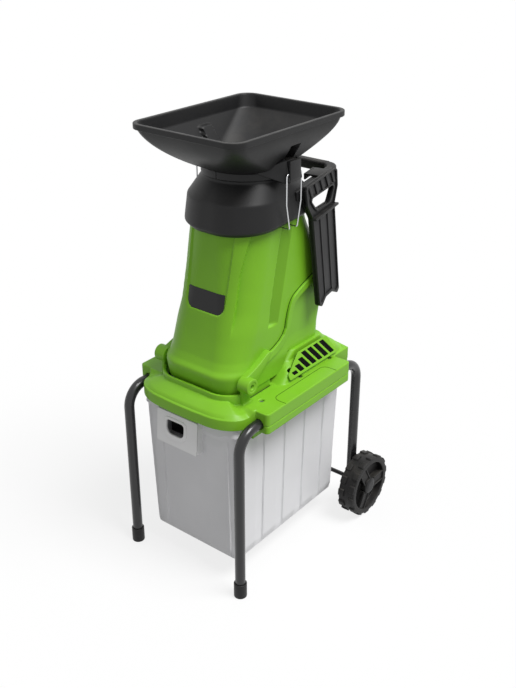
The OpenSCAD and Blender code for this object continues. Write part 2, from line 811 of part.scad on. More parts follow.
module knife_bolts() {
    color("dimgray") at_spindle() translate([0, 0, disc_z]) at_bolts() {
        translate([0, 0, -2]) cylinder(h = disc_t + knife_t + 2, r = bolt_r);
        translate([0, 0, disc_t + knife_t]) cylinder(h = 2.5, r = 2 * bolt_r - 1, $fn = 6);
        translate([0, 0, -4]) cylinder(h = 4 - seat, r = 2 * bolt_r - 1, $fn = 6);
    }
}

nut_h = 8;
module disc_nut() {
    color("dimgray") at_spindle() translate([0, 0, disc_z + disc_t]) difference() {
        cylinder(h = nut_h, r = thread_r + 6, $fn = 6);
        translate([0, 0, -1]) cylinder(h = nut_h + 2, r = thread_r + fit);
    }
}

belt_t = 3;
module pulley(r, bore) {
    difference() {
        union() {
            cylinder(h = pulley_h, r = r - belt_t / 2 - seat);
            for (z = [0, pulley_h - 1]) translate([0, 0, z]) cylinder(h = 1, r = r + 2);
        }
        translate([0, 0, -1]) cylinder(h = pulley_h + 2, r = bore);
    }
}
module driven_pulley() {
    color(black) at_spindle() translate([0, 0, pulley_z]) difference() {
        pulley(big_pulley_r, spindle_d / 2 + fit);
        for (k = [0:5]) rotate([0, 0, 60 * k]) translate([big_pulley_r * 0.55, 0, -1])
            cylinder(h = pulley_h + 2, r = big_pulley_r * 0.17);
    }
}
module motor_pulley() {
    color(steel) at_motor() translate([0, 0, pulley_z]) pulley(small_pulley_r, shaft_d / 2 + fit);
}

// The belt's outline: two arcs joined by the pulleys' common tangents, grown by e
centre_gap = motor_rear + spindle_front;
wrap = asin((big_pulley_r - small_pulley_r) / centre_gap);
function belt_line(e) = concat(
    arc([0, -spindle_front], big_pulley_r + e, 180 - wrap, 360 + wrap, 30),
    arc([0, motor_rear], small_pulley_r + e, wrap, 180 - wrap, 16));
module drive_belt() {
    color(black) on_axis() translate([0, 0, pulley_z + (pulley_h - belt_w) / 2])
        linear_extrude(belt_w) difference() {
            polygon(belt_line(belt_t / 2));
            polygon(belt_line(-belt_t / 2));
        }
}

// Motor, seated on the chamber floor inside the plinth
can_z = floor_z + deck_wall;
can_top = can_z + motor_l;
can_wall = 2;
end_t = 10;
stator_z = can_z + end_t + 8;
stator_l = 34;
stator_bore = motor_r * 0.58;
motor_bearing_r = shaft_d / 2 + 6;
fan_h = 6;
fan_z = can_z + end_t + 1;
motor_end_z = can_top + 5;

module motor_can() {
    color("gray") at_motor() difference() {
        translate([0, 0, can_z]) cylinder(h = motor_l, r = motor_r);
        translate([0, 0, can_z + end_t]) cylinder(h = motor_l - 2 * end_t, r = motor_r - can_wall);
        translate([0, 0, can_z - 1]) cylinder(h = end_t + 2, r = motor_bearing_r + fit);
        translate([0, 0, can_top - end_t - 1]) cylinder(h = end_t + 2, r = motor_bearing_r + fit);
        for (k = [0:7]) rotate([0, 0, 45 * k + 22.5])
            block([motor_r - can_wall - 1, -5, fan_z], [motor_r + 1, 5, fan_z + fan_h]);
        both_sides()
            block([motor_r * 0.5 - seat, -6 - seat, can_top - end_t - 1], [motor_r + 1, 6 + seat, can_top - 2]);
    }
}

module stator() {
    color("dimgray") at_motor() pipe(stator_z, stator_z + stator_l, motor_r - can_wall - seat, stator_bore);
}

module armature() {
    color("peru") at_motor() {
        translate([0, 0, spindle_low]) cylinder(h = motor_end_z - spindle_low, r = shaft_d / 2);
        translate([0, 0, stator_z]) cylinder(h = stator_l, r = stator_bore - 1);
        translate([0, 0, can_top - end_t - 12]) cylinder(h = 10, r = motor_r * 0.42);
    }
}

module motor_fan() {
    color(black) at_motor() difference() {
        union() {
            translate([0, 0, fan_z]) cylinder(h = 1.5, r = motor_r - 6);
            translate([0, 0, fan_z]) cylinder(h = fan_h, r = shaft_d / 2 + 4);
            for (k = [0:8]) rotate([0, 0, 40 * k])
                block([shaft_d / 2 + 2, -0.8, fan_z + 1], [motor_r - 7, 0.8, fan_z + fan_h]);
        }
        translate([0, 0, fan_z - 1]) cylinder(h = fan_h + 2, r = shaft_d / 2 + fit);
    }
}

module motor_bearings() {
    color(steel) at_motor() for (z = [can_z + 1, can_top - end_t + 1])
        pipe(z, z + end_t - 2, motor_bearing_r, shaft_d / 2 + fit);
}

module brush_holders() {
    color("saddlebrown") at_motor() both_sides()
        block([motor_r * 0.5, -6, can_top - end_t - 11], [motor_r - can_wall - 1.5, 6, can_top - 3]);
}

// Switch box in a pocket of the plinth's rear slope
switch_w = 72;
switch_h = 46;
switch_d = 28;
switch_x = -lock_pad_w / 2 - 4 - switch_w / 2;
switch_y = plinth_rear - switch_d - 6;
switch_z = deck_top;
button_w = 20;
button_h = 14;
button_travel = 3;
button_out = 5;
button_z = switch_z + switch_h - 11;
reset_r = 5;
inlet_r = 10;
on_x = switch_x - 14;
off_x = switch_x + 14;
inlet_x = switch_x - 16;
inlet_z = switch_z + 13;
reset_x = switch_x + 18;
reset_z = switch_z + 14;

module switch_pocket(e, z) {
    block([switch_x - switch_w / 2 - e, switch_y - e, z],
        [switch_x + switch_w / 2 + e, deck_rear + 1, overall_h]);
}

module button(x, e, depth) {
    translate([x, 0, button_z]) block([-button_w / 2 - e, switch_y + switch_d - depth, -button_h / 2 - e],
        [button_w / 2 + e, switch_y + switch_d + button_out, button_h / 2 + e]);
}

module switch_box() {
    color(black) on_axis() difference() {
        block([switch_x - switch_w / 2, switch_y, switch_z],
            [switch_x + switch_w / 2, switch_y + switch_d, switch_z + switch_h]);
        for (x = [on_x, off_x]) button(x, seat, 10 + button_travel + seat);
        translate([reset_x, switch_y + switch_d, reset_z]) rod_y(-12 - button_travel, 1, reset_r + seat);
        translate([inlet_x, switch_y + switch_d, inlet_z]) rod_y(-14, 1, inlet_r + seat);
    }
}
module on_button() { color("limegreen") on_axis() button(on_x, 0, 10); }
module off_button() { color("firebrick") on_axis() button(off_x, 0, 10); }
module reset_button() {
    color("dimgray") on_axis() translate([reset_x, 0, reset_z])
        rod_y(switch_y + switch_d - 12, switch_y + switch_d + 4, reset_r);
}
module power_inlet() {
    color(black) on_axis() translate([inlet_x, 0, inlet_z]) difference() {
        rod_y(switch_y + switch_d - 14 + seat, switch_y + switch_d + 2, inlet_r);
        rod_y(switch_y + switch_d - 11, switch_y + switch_d + 3, inlet_r - 2.5);
    }
}

// Hood: a tower over the chamber, with a motor cover let into its lower rear
waist_z = flange_top + 26;
mid_z = waist_z + 0.42 * (collar_z - waist_z);
waist_front = hood_front - 12;
mid_front = neck_front + 0.47 * (waist_front - neck_front);
bulge_rear = neck_rear + 56;
neck_corner = 82;
neck_rear_corner = 56;
tower_sections = [
    [flange_z, hood_half_w, hood_front, bulge_rear - 24, flange_corner, 30],
    [flange_top, hood_half_w, hood_front, bulge_rear - 24, flange_corner, 30],
    [flange_top + 9, hood_half_w - 1.7, hood_front - 4.5, bulge_rear - 20, flange_corner + 2, 30],
    [waist_z, hood_half_w - 4.5, waist_front, bulge_rear - 14, flange_corner + 4, 32],
    [waist_z + 40, hood_half_w - 4, waist_front - 9, bulge_rear - 2, 60, 34],
    [mid_z, hood_half_w - 5, mid_front, bulge_rear, 66, 38],
    [(mid_z + collar_z) / 2, neck_half_w + 1, (mid_front + neck_front) / 2 - 1, neck_rear + 32, 74, 46],
    [collar_z, neck_half_w, neck_front, neck_rear, neck_corner, neck_rear_corner],
    [hood_top, neck_half_w - 1, neck_front - 2, neck_rear - 2, neck_corner, neck_rear_corner]
];
module tower(e, over = 0) { loft(tower_sections, e, over); }

// The edge where the motor cover meets the tower, in Y and Z, shifted by d
cover_y = 20;
cover_edge = [[cover_y, waist_z], [cover_y + 16, waist_z + 72], [cover_y + 38, waist_z + 92],
    [deck_rear, waist_z + 144]];
raised_edge = concat([[hinge_y + 34, hinge_z + 10]], cover_edge);
cover_in = hood_wall + pass;
cover_lap = 8;
function shifted(points, d) = [for (p = points) p + d];
module cover_zone(d) {
    side_plate(-deck_w, deck_w, concat([[cover_y + d.x, 0]], shifted(cover_edge, d), [[deck_rear + d.x, 0]]));
}
module edge_band() {
    d = [-0.6, 0.8] * edge_w;
    back = shifted(raised_edge, d);
    side_plate(-deck_w, deck_w, concat(raised_edge, [for (i = [len(back) - 1:-1:0]) back[i]]));
}

badge_w = 94;
badge_h = 44;
badge_t = 1.2;
badge_z = mid_z + 8;
panel_w = 100;
panel_z = badge_z - badge_h / 2 - 3;
module panel_zone(e) {
    block([-panel_w / 2 - e, -deck_w, panel_z - e], [panel_w / 2 + e, 0, overall_h]);
}

// Latch wires hook into holes in the hood just below the collar
tip_z = collar_z - 6;
tip_hole_r = wire_d / 2 + 1.3;
module at_tips() {
    both_sides() for (s = [-1, 1]) translate([0, latch_y + s * tip_w / 2, tip_z]) children();
}

module hinge_boss() {
    boss_in = lug_in + lug_t + seat;
    rib_out = boss_end - 4;
    heel = [[-70, hinge_z + 34], [-48, hinge_z + 24]];
    at_hinge() rod_x(boss_in, boss_end, boss_r);
    side_plate(boss_in, rib_out,
        concat([[hinge_y + 4, hinge_z + boss_r - 1]], heel, [[hinge_y + 12, hinge_z - 10]]));
    side_plate(hood_half_w - 5, rib_out, concat([[-100, hinge_z + 24]], heel, [[-88, hinge_z + 3]]));
}

module hood() {
    color(green) on_axis() difference() {
        union() {
            difference() {
                union() {
                    difference() {
                        tower(0);
                        cover_zone([0, 0]);
                    }
                    intersection() {
                        tower(edge_h);
                        edge_band();
                    }
                }
                // The inside, with the wall kept behind the recessed front panel
                difference() {
                    tower(-hood_wall, 1);
                    difference() {
                        panel_zone(hood_wall);
                        tower(-hood_wall - panel_depth, 2);
                    }
                }
                intersection() {
                    panel_zone(0);
                    difference() {
                        tower(edge_h + 1, 1);
                        tower(-panel_depth, 2);
                    }
                }
            }
            both_sides() hinge_boss();
        }
        plinth(pass);
        at_hinge() both_sides() rod_x(hood_half_w, boss_end + 1, hinge_pin_d / 2 + fit);
        at_tips() rod_x(neck_half_w - 8, deck_w, tip_hole_r);
    }
}

lock_tab_t = 7;
lock_r = 5;

module motor_cover() {
    tab_front = pad_front + 2;
    color(green) on_axis() difference() {
        union() {
            intersection() {
                tower(-cover_in);
                cover_zone([-cover_lap, cover_lap]);
                block([-deck_w, cover_y - cover_lap, plinth_z + seat], [deck_w, deck_rear, overall_h]);
            }
            block([1 - lock_pad_w / 2, tab_front, plinth_z + seat],
                [lock_pad_w / 2 - 1, lock_y + lock_edge - 1, plinth_z + seat + lock_tab_t]);
        }
        difference() {
            tower(-cover_in - hood_wall, 1);
            block([-lock_pad_w / 2, tab_front, 0], [lock_pad_w / 2, deck_rear, plinth_z + seat + lock_tab_t]);
        }
        translate([0, lock_y, 0]) cylinder(h = overall_h, r = lock_r + fit);
    }
}

knob_h = 24;
module lock_knob() {
    lobes = 6;
    z = plinth_z + 2 * seat + lock_tab_t;
    color(black) on_axis() translate([0, lock_y, z]) difference() {
        union() {
            cylinder(h = knob_h, r = knob_d / 2 - 5);
            for (k = [0:lobes - 1]) rotate([0, 0, 360 * k / lobes]) translate([knob_d / 2 - 7, 0, 0])
                cylinder(h = knob_h, r = 7);
        }
        translate([0, 0, -1]) cylinder(h = knob_h - 6, r = lock_r + fit);
    }
}
module lock_screw() {
    color(steel) on_axis() translate([0, lock_y, plinth_z - 8])
        cylinder(h = 8 + 2 * seat + lock_tab_t + knob_h - 8, r = lock_r);
}

module badge() {
    color(black) on_axis() intersection() {
        difference() {
            tower(-panel_depth + badge_t);
            tower(-panel_depth, 1);
        }
        translate([0, 0, badge_z]) rotate([90, 0, 0]) linear_extrude(deck_w)
            polygon(outline(badge_w / 2, badge_h / 2, badge_h / 2, 18, 3));
    }
}

// Feed path: chute, feed pipe, collar, neck ring and hopper
chute_r = neck_r - 14;
spigot_r = neck_r - 9;
spigot_z = ring_z + ring_h + 2;
chute_wall = 2.5;
chute_lip = 2;
chute_top = spigot_z + chute_lip + 0.5;
chute_z = disc_z + disc_t + knife_t + 9;
chute_half_w = 46;
chute_front = spindle_front + disc_r - 10;
chute_rear = -spindle_front - 14;
chute_corner = 12;

// A section about the neck's centre at height z: a circle of radius r, but for four short flats
ROUND_FLAT = 0.5;
function round_section(z, r) = [z, r, r - neck_y, r + neck_y, r - ROUND_FLAT, r - ROUND_FLAT];

// The chute ends in a socket that the round feed pipe stands in
socket_h = 10;
module feed_chute() {
    sections = [
        [chute_z, chute_half_w, chute_front, chute_rear, chute_corner, chute_corner],
        [waist_z, chute_half_w + 2, chute_front, chute_rear + 20, chute_corner + 4, chute_corner + 4],
        round_section(collar_z, chute_r)
    ];
    color(black) on_axis() difference() {
        union() {
            loft(sections);
            translate([0, neck_y, collar_z - socket_h])
                cylinder(h = 2 * socket_h, r = chute_r + seat + chute_wall);
        }
        loft(sections, -chute_wall, 1);
        translate([0, neck_y, collar_z]) cylinder(h = socket_h + 1, r = chute_r + seat);
    }
}

// The pipe's lip hangs on the collar's spigot
module feed_pipe() {
    color(black) on_axis() translate([0, neck_y, 0]) {
        pipe(collar_z + seat, chute_top, chute_r, chute_r - chute_wall);
        pipe(spigot_z, spigot_z + chute_lip, spigot_r, chute_r - chute_wall / 2);
    }
}

// The fixed knife under the chute's rear edge
counter_t = 3;
module counter_knife() {
    color(steel) on_axis()
        block([chute_corner - chute_half_w, chute_rear - chute_wall, chute_z - seat - counter_t],
            [chute_half_w - chute_corner, chute_rear + 6, chute_z - seat]);
}

// The collar's sides stand proud of the handle's arms, and draw in towards the hood above and below
arm_inset = 2;
collar_half_w = handle_w / 2 + arm_inset;
collar_draw = 0.42 * (collar_half_w - neck_half_w);
collar_sections = [
    [collar_z, neck_half_w + collar_draw, neck_front + 2, neck_rear + 6, neck_corner + 4, neck_rear_corner + 4],
    [collar_z + 9, collar_half_w, neck_front + collar_out - 2, neck_rear + collar_out,
        neck_corner + 10, neck_rear_corner + 10],
    [shoulder_z, collar_half_w - collar_draw, neck_front + collar_out - 8, neck_rear + collar_out - 6,
        neck_corner + 8, neck_rear_corner + 8],
    round_section(ring_z - 4, neck_r - 1),
    round_section(ring_z, neck_r - 1)
];

// The collar is hollow above the ledge that rests on the hood's upper edge
collar_wall = 4;
module collar() {
    ledge = hood_wall + collar_wall - seat;
    color(black) on_axis() difference() {
        union() {
            loft(collar_sections);
            translate([0, neck_y, ring_z - 1]) cylinder(h = spigot_z - ring_z + 1, r = spigot_r);
        }
        loft([
            [collar_z - 40, neck_half_w + 1, neck_front + 4, neck_rear + 14, neck_corner, neck_rear_corner],
            tower_sections[7],
            [hood_top + seat, neck_half_w - 1, neck_front - 2, neck_rear - 2, neck_corner, neck_rear_corner]
        ], seat);
        loft([
            [hood_top, neck_half_w, neck_front, neck_rear, neck_corner, neck_rear_corner],
            collar_sections[2],
            round_section(ring_z - ledge, neck_r)
        ], -ledge);
        translate([0, neck_y, collar_z]) cylinder(h = overall_h, r = chute_r + 2 * seat);
    }
}

ring_t = 4;
module neck_ring() {
    seam = 1.5;
    color(black) on_axis() difference() {
        translate([0, neck_y, 0]) pipe(ring_z + seat, ring_z + ring_h, neck_r, neck_r - ring_t);
        block([-seam / 2, -neck_r - 1, 0], [seam / 2, 0, overall_h]);
    }
}

rim_y = 2;
bowl_z = ring_z + ring_h;
band_z = overall_h - band_h;
bowl_mid = bowl_z + 0.42 * (band_z - bowl_z);
hopper_half_w = rim_w / 2 - rim_lip;
hopper_f = rim_l / 2 + rim_y - rim_lip;
hopper_b = rim_l / 2 - rim_y - rim_lip;
hopper_corner = 20;
bowl = [
    round_section(bowl_z, neck_r),
    [bowl_mid, 0.46 * hopper_half_w + 0.54 * neck_r, 0.5 * (hopper_f + neck_r - neck_y),
        0.5 * (hopper_b + neck_r + neck_y), 62, 62],
    [band_z, hopper_half_w, hopper_f, hopper_b, hopper_corner, hopper_corner],
    [overall_h - rim_h, hopper_half_w + 1, hopper_f + 1, hopper_b + 1, hopper_corner, hopper_corner]
];

// Latch: a lever on the hopper's bracket pulls a wire that hooks into the hood
pivot_x = collar_half_w + 7;
pivot_z = ring_z;
cheek_t = 3.5;
cheek_y = lever_w / 2 + seat;
bail_dx = 1;
bail_dz = 12;
pocket_z = pivot_z + lever_h - 8;
pocket_h = 28;
pocket_w = 26;

module bracket() {
    back_x = pivot_x - 7;
    block([neck_r + 4, latch_y - cheek_y - cheek_t, pivot_z - 6],
        [back_x, latch_y + cheek_y + cheek_t, pivot_z + lever_h]);
    for (y = [latch_y - cheek_y - cheek_t, latch_y + cheek_y]) translate([0, y, 0]) {
        translate([pivot_x, 0, pivot_z]) rod_y(0, cheek_t, 6);
        block([back_x - 1, 0, pivot_z - 6], [pivot_x, cheek_t, pivot_z + 6]);
    }
}

module hopper() {
    bump = 2.5;
    color(black) on_axis() difference() {
        union() {
            difference() {
                union() {
                    loft(bowl);
                    slab(overall_h - rim_h, overall_h, rim_w / 2, hopper_f + rim_lip, hopper_b + rim_lip,
                        hopper_corner + rim_lip, hopper_corner + rim_lip);
                    translate([0, neck_y, ring_z + seat]) cylinder(h = ring_h, r = neck_r - ring_t - seat);
                    both_sides() bracket();
                }
                difference() {
                    loft([round_section(bowl_z + hopper_wall + 1, spigot_r + seat + hopper_wall + 1.5),
                        bowl[1], bowl[2],
                        [overall_h, hopper_half_w + 2, hopper_f + 2, hopper_b + 2,
                            hopper_corner, hopper_corner]], -hopper_wall, 1);
                    both_sides() block([neck_r + 2, latch_y - pocket_w / 2 - bump, pocket_z - 2],
                        [hopper_half_w, latch_y + pocket_w / 2 + bump, pocket_z + pocket_h + bump]);
                }
            }
        }
        translate([0, neck_y, 0]) cylinder(h = chute_top + seat, r = spigot_r + seat);
        both_sides() {
            block([neck_r + 5, latch_y - pocket_w / 2, pocket_z + 4],
                [rim_w, latch_y + pocket_w / 2, pocket_z + pocket_h]);
            translate([pivot_x, 0, pivot_z]) rod_y(latch_y - lever_w, latch_y + lever_w, latch_pin_r + fit);
        }
    }
}

latch_pin_r = 2;
module latch_pins() {
    l = cheek_y + cheek_t;
    color(steel) on_axis() both_sides() translate([pivot_x, 0, pivot_z])
        rod_y(latch_y - l, latch_y + l, latch_pin_r);
}

module latch_lever() {
    on_axis() translate([pivot_x, latch_y, pivot_z]) difference() {
        union() {
            rod_y(-lever_w / 2, lever_w / 2, 5);
            block([-3.5, -lever_w / 2, 0], [4, lever_w / 2, lever_h - 8]);
            block([-2, -lever_w / 2, lever_h - 9], [7, lever_w / 2, lever_h - 5]);
        }
        rod_y(-lever_w, lever_w, latch_pin_r + fit);
        translate([bail_dx, 0, bail_dz]) rod_y(-lever_w, lever_w, wire_d / 2 + fit);
    }
}
module right_latch_lever() { color(black) latch_lever(); }
module left_latch_lever() { color(black) mirror([1, 0, 0]) latch_lever(); }

// Rings along the path p after its first point, each in the plane that halves the bend there
function unit(v) = v / norm(v);
function sweep_rings(p, ring, i = 1) = i == len(p) ? [] : let (
    d = unit(p[i] - p[i - 1]),
    m = i == len(p) - 1 ? d : unit(d + unit(p[i + 1] - p[i])),
    next = [for (q = ring) q + d * ((p[i] - q) * m) / (d * m)]
) concat([next], sweep_rings(p, next, i + 1));

// A round wire along the path p, which starts straight down
module wire(p, r, n = 12) {
    first = [for (k = [0:n - 1]) p[0] + r * [cos(360 * k / n), sin(360 * k / n), 0]];
    rings = concat([first], sweep_rings(p, first));
    last = len(rings) - 1;
    sides = [for (i = [0:last - 1]) for (j = [0:n - 1])
        let (a = i * n + j, b = i * n + (j + 1) % n)
        each [[a, b, b + n], [a, b + n, a + n]]];
    polyhedron([for (r = rings) each r],
        concat([[for (j = [n - 1:-1:0]) j]], sides, [[for (j = [0:n - 1]) last * n + j]]));
}

module latch_wire() {
    x = pivot_x + bail_dx;
    z = pivot_z + bail_dz;
    bend_z = shoulder_z - 10;
    on_axis() translate([0, latch_y, 0]) {
        translate([x, 0, z]) rod_y(-bail_w / 2, bail_w / 2, wire_d / 2);
        for (s = [-1, 1]) wire([[x, s * bail_w / 2, z + wire_d / 2], [x, s * bail_w / 2, bend_z],
            [x, s * tip_w / 2, tip_z], [neck_half_w - 4, s * tip_w / 2, tip_z]], wire_d / 2 + 0.05);
    }
}
module right_latch_wire() { color(steel) latch_wire(); }
module left_latch_wire() { color(steel) mirror([1, 0, 0]) latch_wire(); }

// Transport handle and the plunger that hangs on its right arm
handle_drop = 14;
handle_z = shoulder_z - handle_drop;
handle_front = 44;
handle_corner = 34;
module handle_plan(e) {
    hull() {
        translate([handle_w / 2 - e - 1, handle_front]) circle(1, $fn = 8);
        translate([1 + e - handle_w / 2, handle_front]) circle(1, $fn = 8);
        for (s = [-1, 1]) translate([s * (handle_back_w / 2 - handle_corner), handle_rear - handle_corner])
            circle(handle_corner - e, $fn = 32);
    }
}

// Children in the handle's own plane, with Z = 0 at its underside
module on_handle() {
    on_axis() translate([0, handle_front, handle_z]) rotate([handle_lean, 0, 0])
        translate([0, -handle_front, 0]) children();
}

module transport_handle() {
    color(black) difference() {
        on_handle() linear_extrude(bar_h) difference() {
            handle_plan(0);
            handle_plan(bar_w);
        }
        on_axis() {
            loft(collar_sections, seat);
            block([-handle_w, -deck_w, 0], [handle_w, handle_front, overall_h]);
        }
    }
}

arm_yaw = atan((handle_w - handle_back_w) / 2 / (handle_rear - handle_corner - handle_front));
plunger_tilt = 3;
hook_t = 4;
hook_h = 9;
hook_gap = hook_h + pass;
hook_front = 8;
hook_rear = 50;
grip_bar = 17;
grip_side = 15;
flange_out = 9;
plunger_y = handle_front + 76;
plunger_x = handle_w / 2 - (plunger_y - handle_front) * tan(arm_yaw) + pass;

module plunger_body() {
    a = grip_w / 2;
    b = blade_w / 2;
    c = blade_tip_w / 2;
    low = -grip_h;
    tip = low - blade_l;
    difference() {
        union() {
            side_plate(0, plunger_t, [[6 - a, 0], [a - 6, 0], [a, -6], [a - 2, low * 0.55], [b, low], [c, tip],
                [c * 0.8, tip - 8], [c * 0.35, tip + 6], [-c * 0.35, tip + 6], [-c * 0.8, tip - 8], [-c, tip],
                [-b, low], [2 - a, low * 0.55], [-a, -6]]);
            block([0, -b, low - 5], [plunger_t + flange_out, b + flange_out, low]);
            for (s = [-1, 1]) side_plate(plunger_t - 1, plunger_t + 3,
                [[s * b * 0.45 - 4, low], [s * b * 0.45 + 4, low],
                [s * c * 0.45 + 4, tip + 8], [s * c * 0.45 - 4, tip + 8]]);
        }
        side_plate(-1, plunger_t + 1, [[grip_side + 5 - a, -grip_bar], [a - grip_side - 5, -grip_bar],
            [a - grip_side, -grip_bar - 5], [b - grip_side, low + 8], [b - grip_side - 6, low + 3],
            [grip_side + 6 - b, low + 3], [grip_side - b, low + 8], [grip_side - a, -grip_bar - 5]]);
    }
}

// The plunger hangs by a hook over the handle's right arm
module plunger() {
    back = -bar_w - pass - hook_gap;
    color(black) on_handle() translate([plunger_x, plunger_y, bar_h + seat + hook_t]) rotate([0, 0, arm_yaw]) {
        rotate([0, -plunger_tilt, 0]) plunger_body();
        block([back, hook_front, -hook_t], [1, hook_rear, 0]);
        block([back - hook_t, hook_front, -hook_t - hook_h], [back, hook_rear, 0]);
    }
}

left_leg_frame();
right_leg_frame();
front_feet();
leg_end_plugs();
axle();
axle_washers();
axle_clips();
left_wheel();
right_wheel();
left_hub_cap();
right_hub_cap();
base_lower();
base_upper();
base_screws();
hinge_pins();
collection_box();
chamber_plate();
bearing_housing();
spindle_bearings();
spindle();
knife_disc();
knives();
knife_bolts();
disc_nut();
driven_pulley();
drive_belt();
motor_pulley();
motor_can();
stator();
armature();
motor_fan();
motor_bearings();
brush_holders();
switch_box();
on_button();
off_button();
reset_button();
power_inlet();
hood();
motor_cover();
badge();
feed_chute();
feed_pipe();
counter_knife();
collar();
neck_ring();
hopper();
transport_handle();
plunger();
left_latch_lever();
right_latch_lever();
left_latch_wire();
right_latch_wire();
latch_pins();
lock_knob();
lock_screw();
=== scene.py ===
"""Garden shredder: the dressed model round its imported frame, one operator for each group of pieces."""

import contextlib
import math

import bmesh
import bpy
import numpy as np
from mathutils import Matrix, Vector


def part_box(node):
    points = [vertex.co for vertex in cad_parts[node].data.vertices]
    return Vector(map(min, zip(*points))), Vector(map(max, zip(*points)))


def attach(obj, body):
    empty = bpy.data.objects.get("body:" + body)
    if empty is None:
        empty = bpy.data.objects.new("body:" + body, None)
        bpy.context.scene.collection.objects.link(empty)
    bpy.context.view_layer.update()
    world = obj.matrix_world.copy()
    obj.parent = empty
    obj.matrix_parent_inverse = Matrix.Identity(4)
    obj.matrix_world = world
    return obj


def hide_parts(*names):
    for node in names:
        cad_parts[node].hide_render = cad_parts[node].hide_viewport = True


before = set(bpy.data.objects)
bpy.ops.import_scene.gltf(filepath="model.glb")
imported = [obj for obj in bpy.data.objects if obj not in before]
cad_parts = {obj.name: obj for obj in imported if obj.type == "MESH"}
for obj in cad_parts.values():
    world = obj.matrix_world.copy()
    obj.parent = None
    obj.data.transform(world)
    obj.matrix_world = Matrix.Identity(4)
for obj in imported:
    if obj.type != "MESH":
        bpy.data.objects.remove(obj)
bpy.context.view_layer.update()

bl_info = {
    "name": "Garden shredder",
    "version": (1, 0, 0),
    "blender": (4, 5, 0),
    "location": "3D View > Sidebar > Shredder",
    "description": "Dresses the packed frame of an electric garden shredder",
    "category": "Object",
}

# Shapes are worked out in millimetres about the feed axis, with the front at -Y
MM = 0.001
SPINDLE_FRONT = 30.0
AXIS_Y = (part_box("spindle")[0].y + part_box("spindle")[1].y) / 2 / MM + SPINDLE_FRONT

# Edges that turn by more than this, in radians, are rounded
BEVEL_ANGLE = 0.5


# Numbers and outlines

def ramp(v, soft):
    """0 to 1 as v passes zero, over a width of soft."""
    t = np.clip(np.asarray(v, float) / soft + 0.5, 0, 1)
    return t * t * (3 - 2 * t)


def rounded_box(x, z, half_x, half_z, r):
    """Signed distance to a rounded rectangle, negative inside."""
    qx, qz = np.abs(x) - half_x + r, np.abs(z) - half_z + r
    outside = np.hypot(np.maximum(qx, 0), np.maximum(qz, 0))
    return outside + np.minimum(np.maximum(qx, qz), 0) - r


def blurred(rows, sigma, closed):
    """Rows of numbers smoothed along the first axis; open ends stay where they are."""
    n = min(int(3 * sigma) + 1, len(rows) - 1)
    kernel = np.exp(-0.5 * (np.arange(-n, n + 1) / sigma) ** 2)
    kernel /= kernel.sum()
    if closed:
        padded = np.concatenate([rows[-n:], rows, rows[:n]])
    else:
        padded = np.concatenate([2 * rows[0] - rows[n:0:-1], rows, 2 * rows[-1] - rows[-2:-n - 2:-1]])
    return np.stack([np.convolve(padded[:, k], kernel, "valid") for k in range(rows.shape[1])], 1)


def along(sections, step, sigma, closed=False):
    """Section rows [z, half width, front, rear, front corner, rear corner] every step mm, smoothed."""
    s = np.array(sections + sections[:1] if closed else sections, float)
    move = np.diff(s[:, :4], axis=0)
    t = np.concatenate([[0], np.cumsum(np.sqrt((move ** 2).sum(1)) + 1e-6)])
    n = max(int(t[-1] / step), 4)
    at = np.linspace(0, t[-1], n, endpoint=not closed)
    rows = np.stack([np.interp(at, t, s[:, k]) for k in range(s.shape[1])], 1)
    return blurred(rows, sigma / step, closed)


def outlines(rows, counts, grow=0.0):
    """Rounded outlines for section rows: rows x points x 3, counter-clockwise from the front."""
    flat_f, corner_f, side, corner_r, flat_r = counts
    z, w, f, b, rf, rb = (rows[:, k, None] for k in range(6))
    w, f, b = w + grow, f + grow, b + grow
    rf, rb = rf + grow, rb + grow

    def share(n):
        return np.arange(n)[None, :] / n

    a, c = share(corner_f) * math.pi / 2, share(corner_r) * math.pi / 2
    x = np.concatenate([share(flat_f) * (w - rf), w - rf + rf * np.sin(a), w + 0 * share(side),
                        w - rb + rb * np.cos(c), (1 - share(flat_r)) * (w - rb)], 1)
    y = np.concatenate([-f + 0 * share(flat_f), rf - f - rf * np.cos(a),
                        rf - f + share(side) * (b - rb + f - rf), b - rb + rb * np.sin(c),
                        b + 0 * share(flat_r)], 1)
    x = np.concatenate([x, 0 * z, -x[:, :0:-1]], 1)
    y = np.concatenate([y, b, y[:, :0:-1]], 1)
    return np.stack([x, y, np.broadcast_to(z, x.shape)], 2)


def grid_faces(rows, cols, wrap_rows=False, wrap_cols=True):
    """Quads of a grid of points, which face outwards where the rings are counter-clockwise and rise."""
    i, j = np.meshgrid(np.arange(rows if wrap_rows else rows - 1),
                       np.arange(cols if wrap_cols else cols - 1), indexing="ij")
    i, j, up, on = i.ravel(), j.ravel(), (i.ravel() + 1) % rows, (j.ravel() + 1) % cols
    return np.stack([i * cols + j, i * cols + on, up * cols + on, up * cols + j], 1).tolist()


def end_faces(rows, cols):
    """Faces that close the first and the last ring of a grid."""
    return [list(range(cols))[::-1], list(range((rows - 1) * cols, rows * cols))]


def grid_normals(grid):
    """Outward normals of a grid of rings."""
    around = np.roll(grid, -1, 1) - np.roll(grid, 1, 1)
    rise = np.gradient(grid, axis=0)
    n = np.cross(around, rise)
    return n / np.maximum(np.linalg.norm(n, axis=2, keepdims=True), 1e-9)


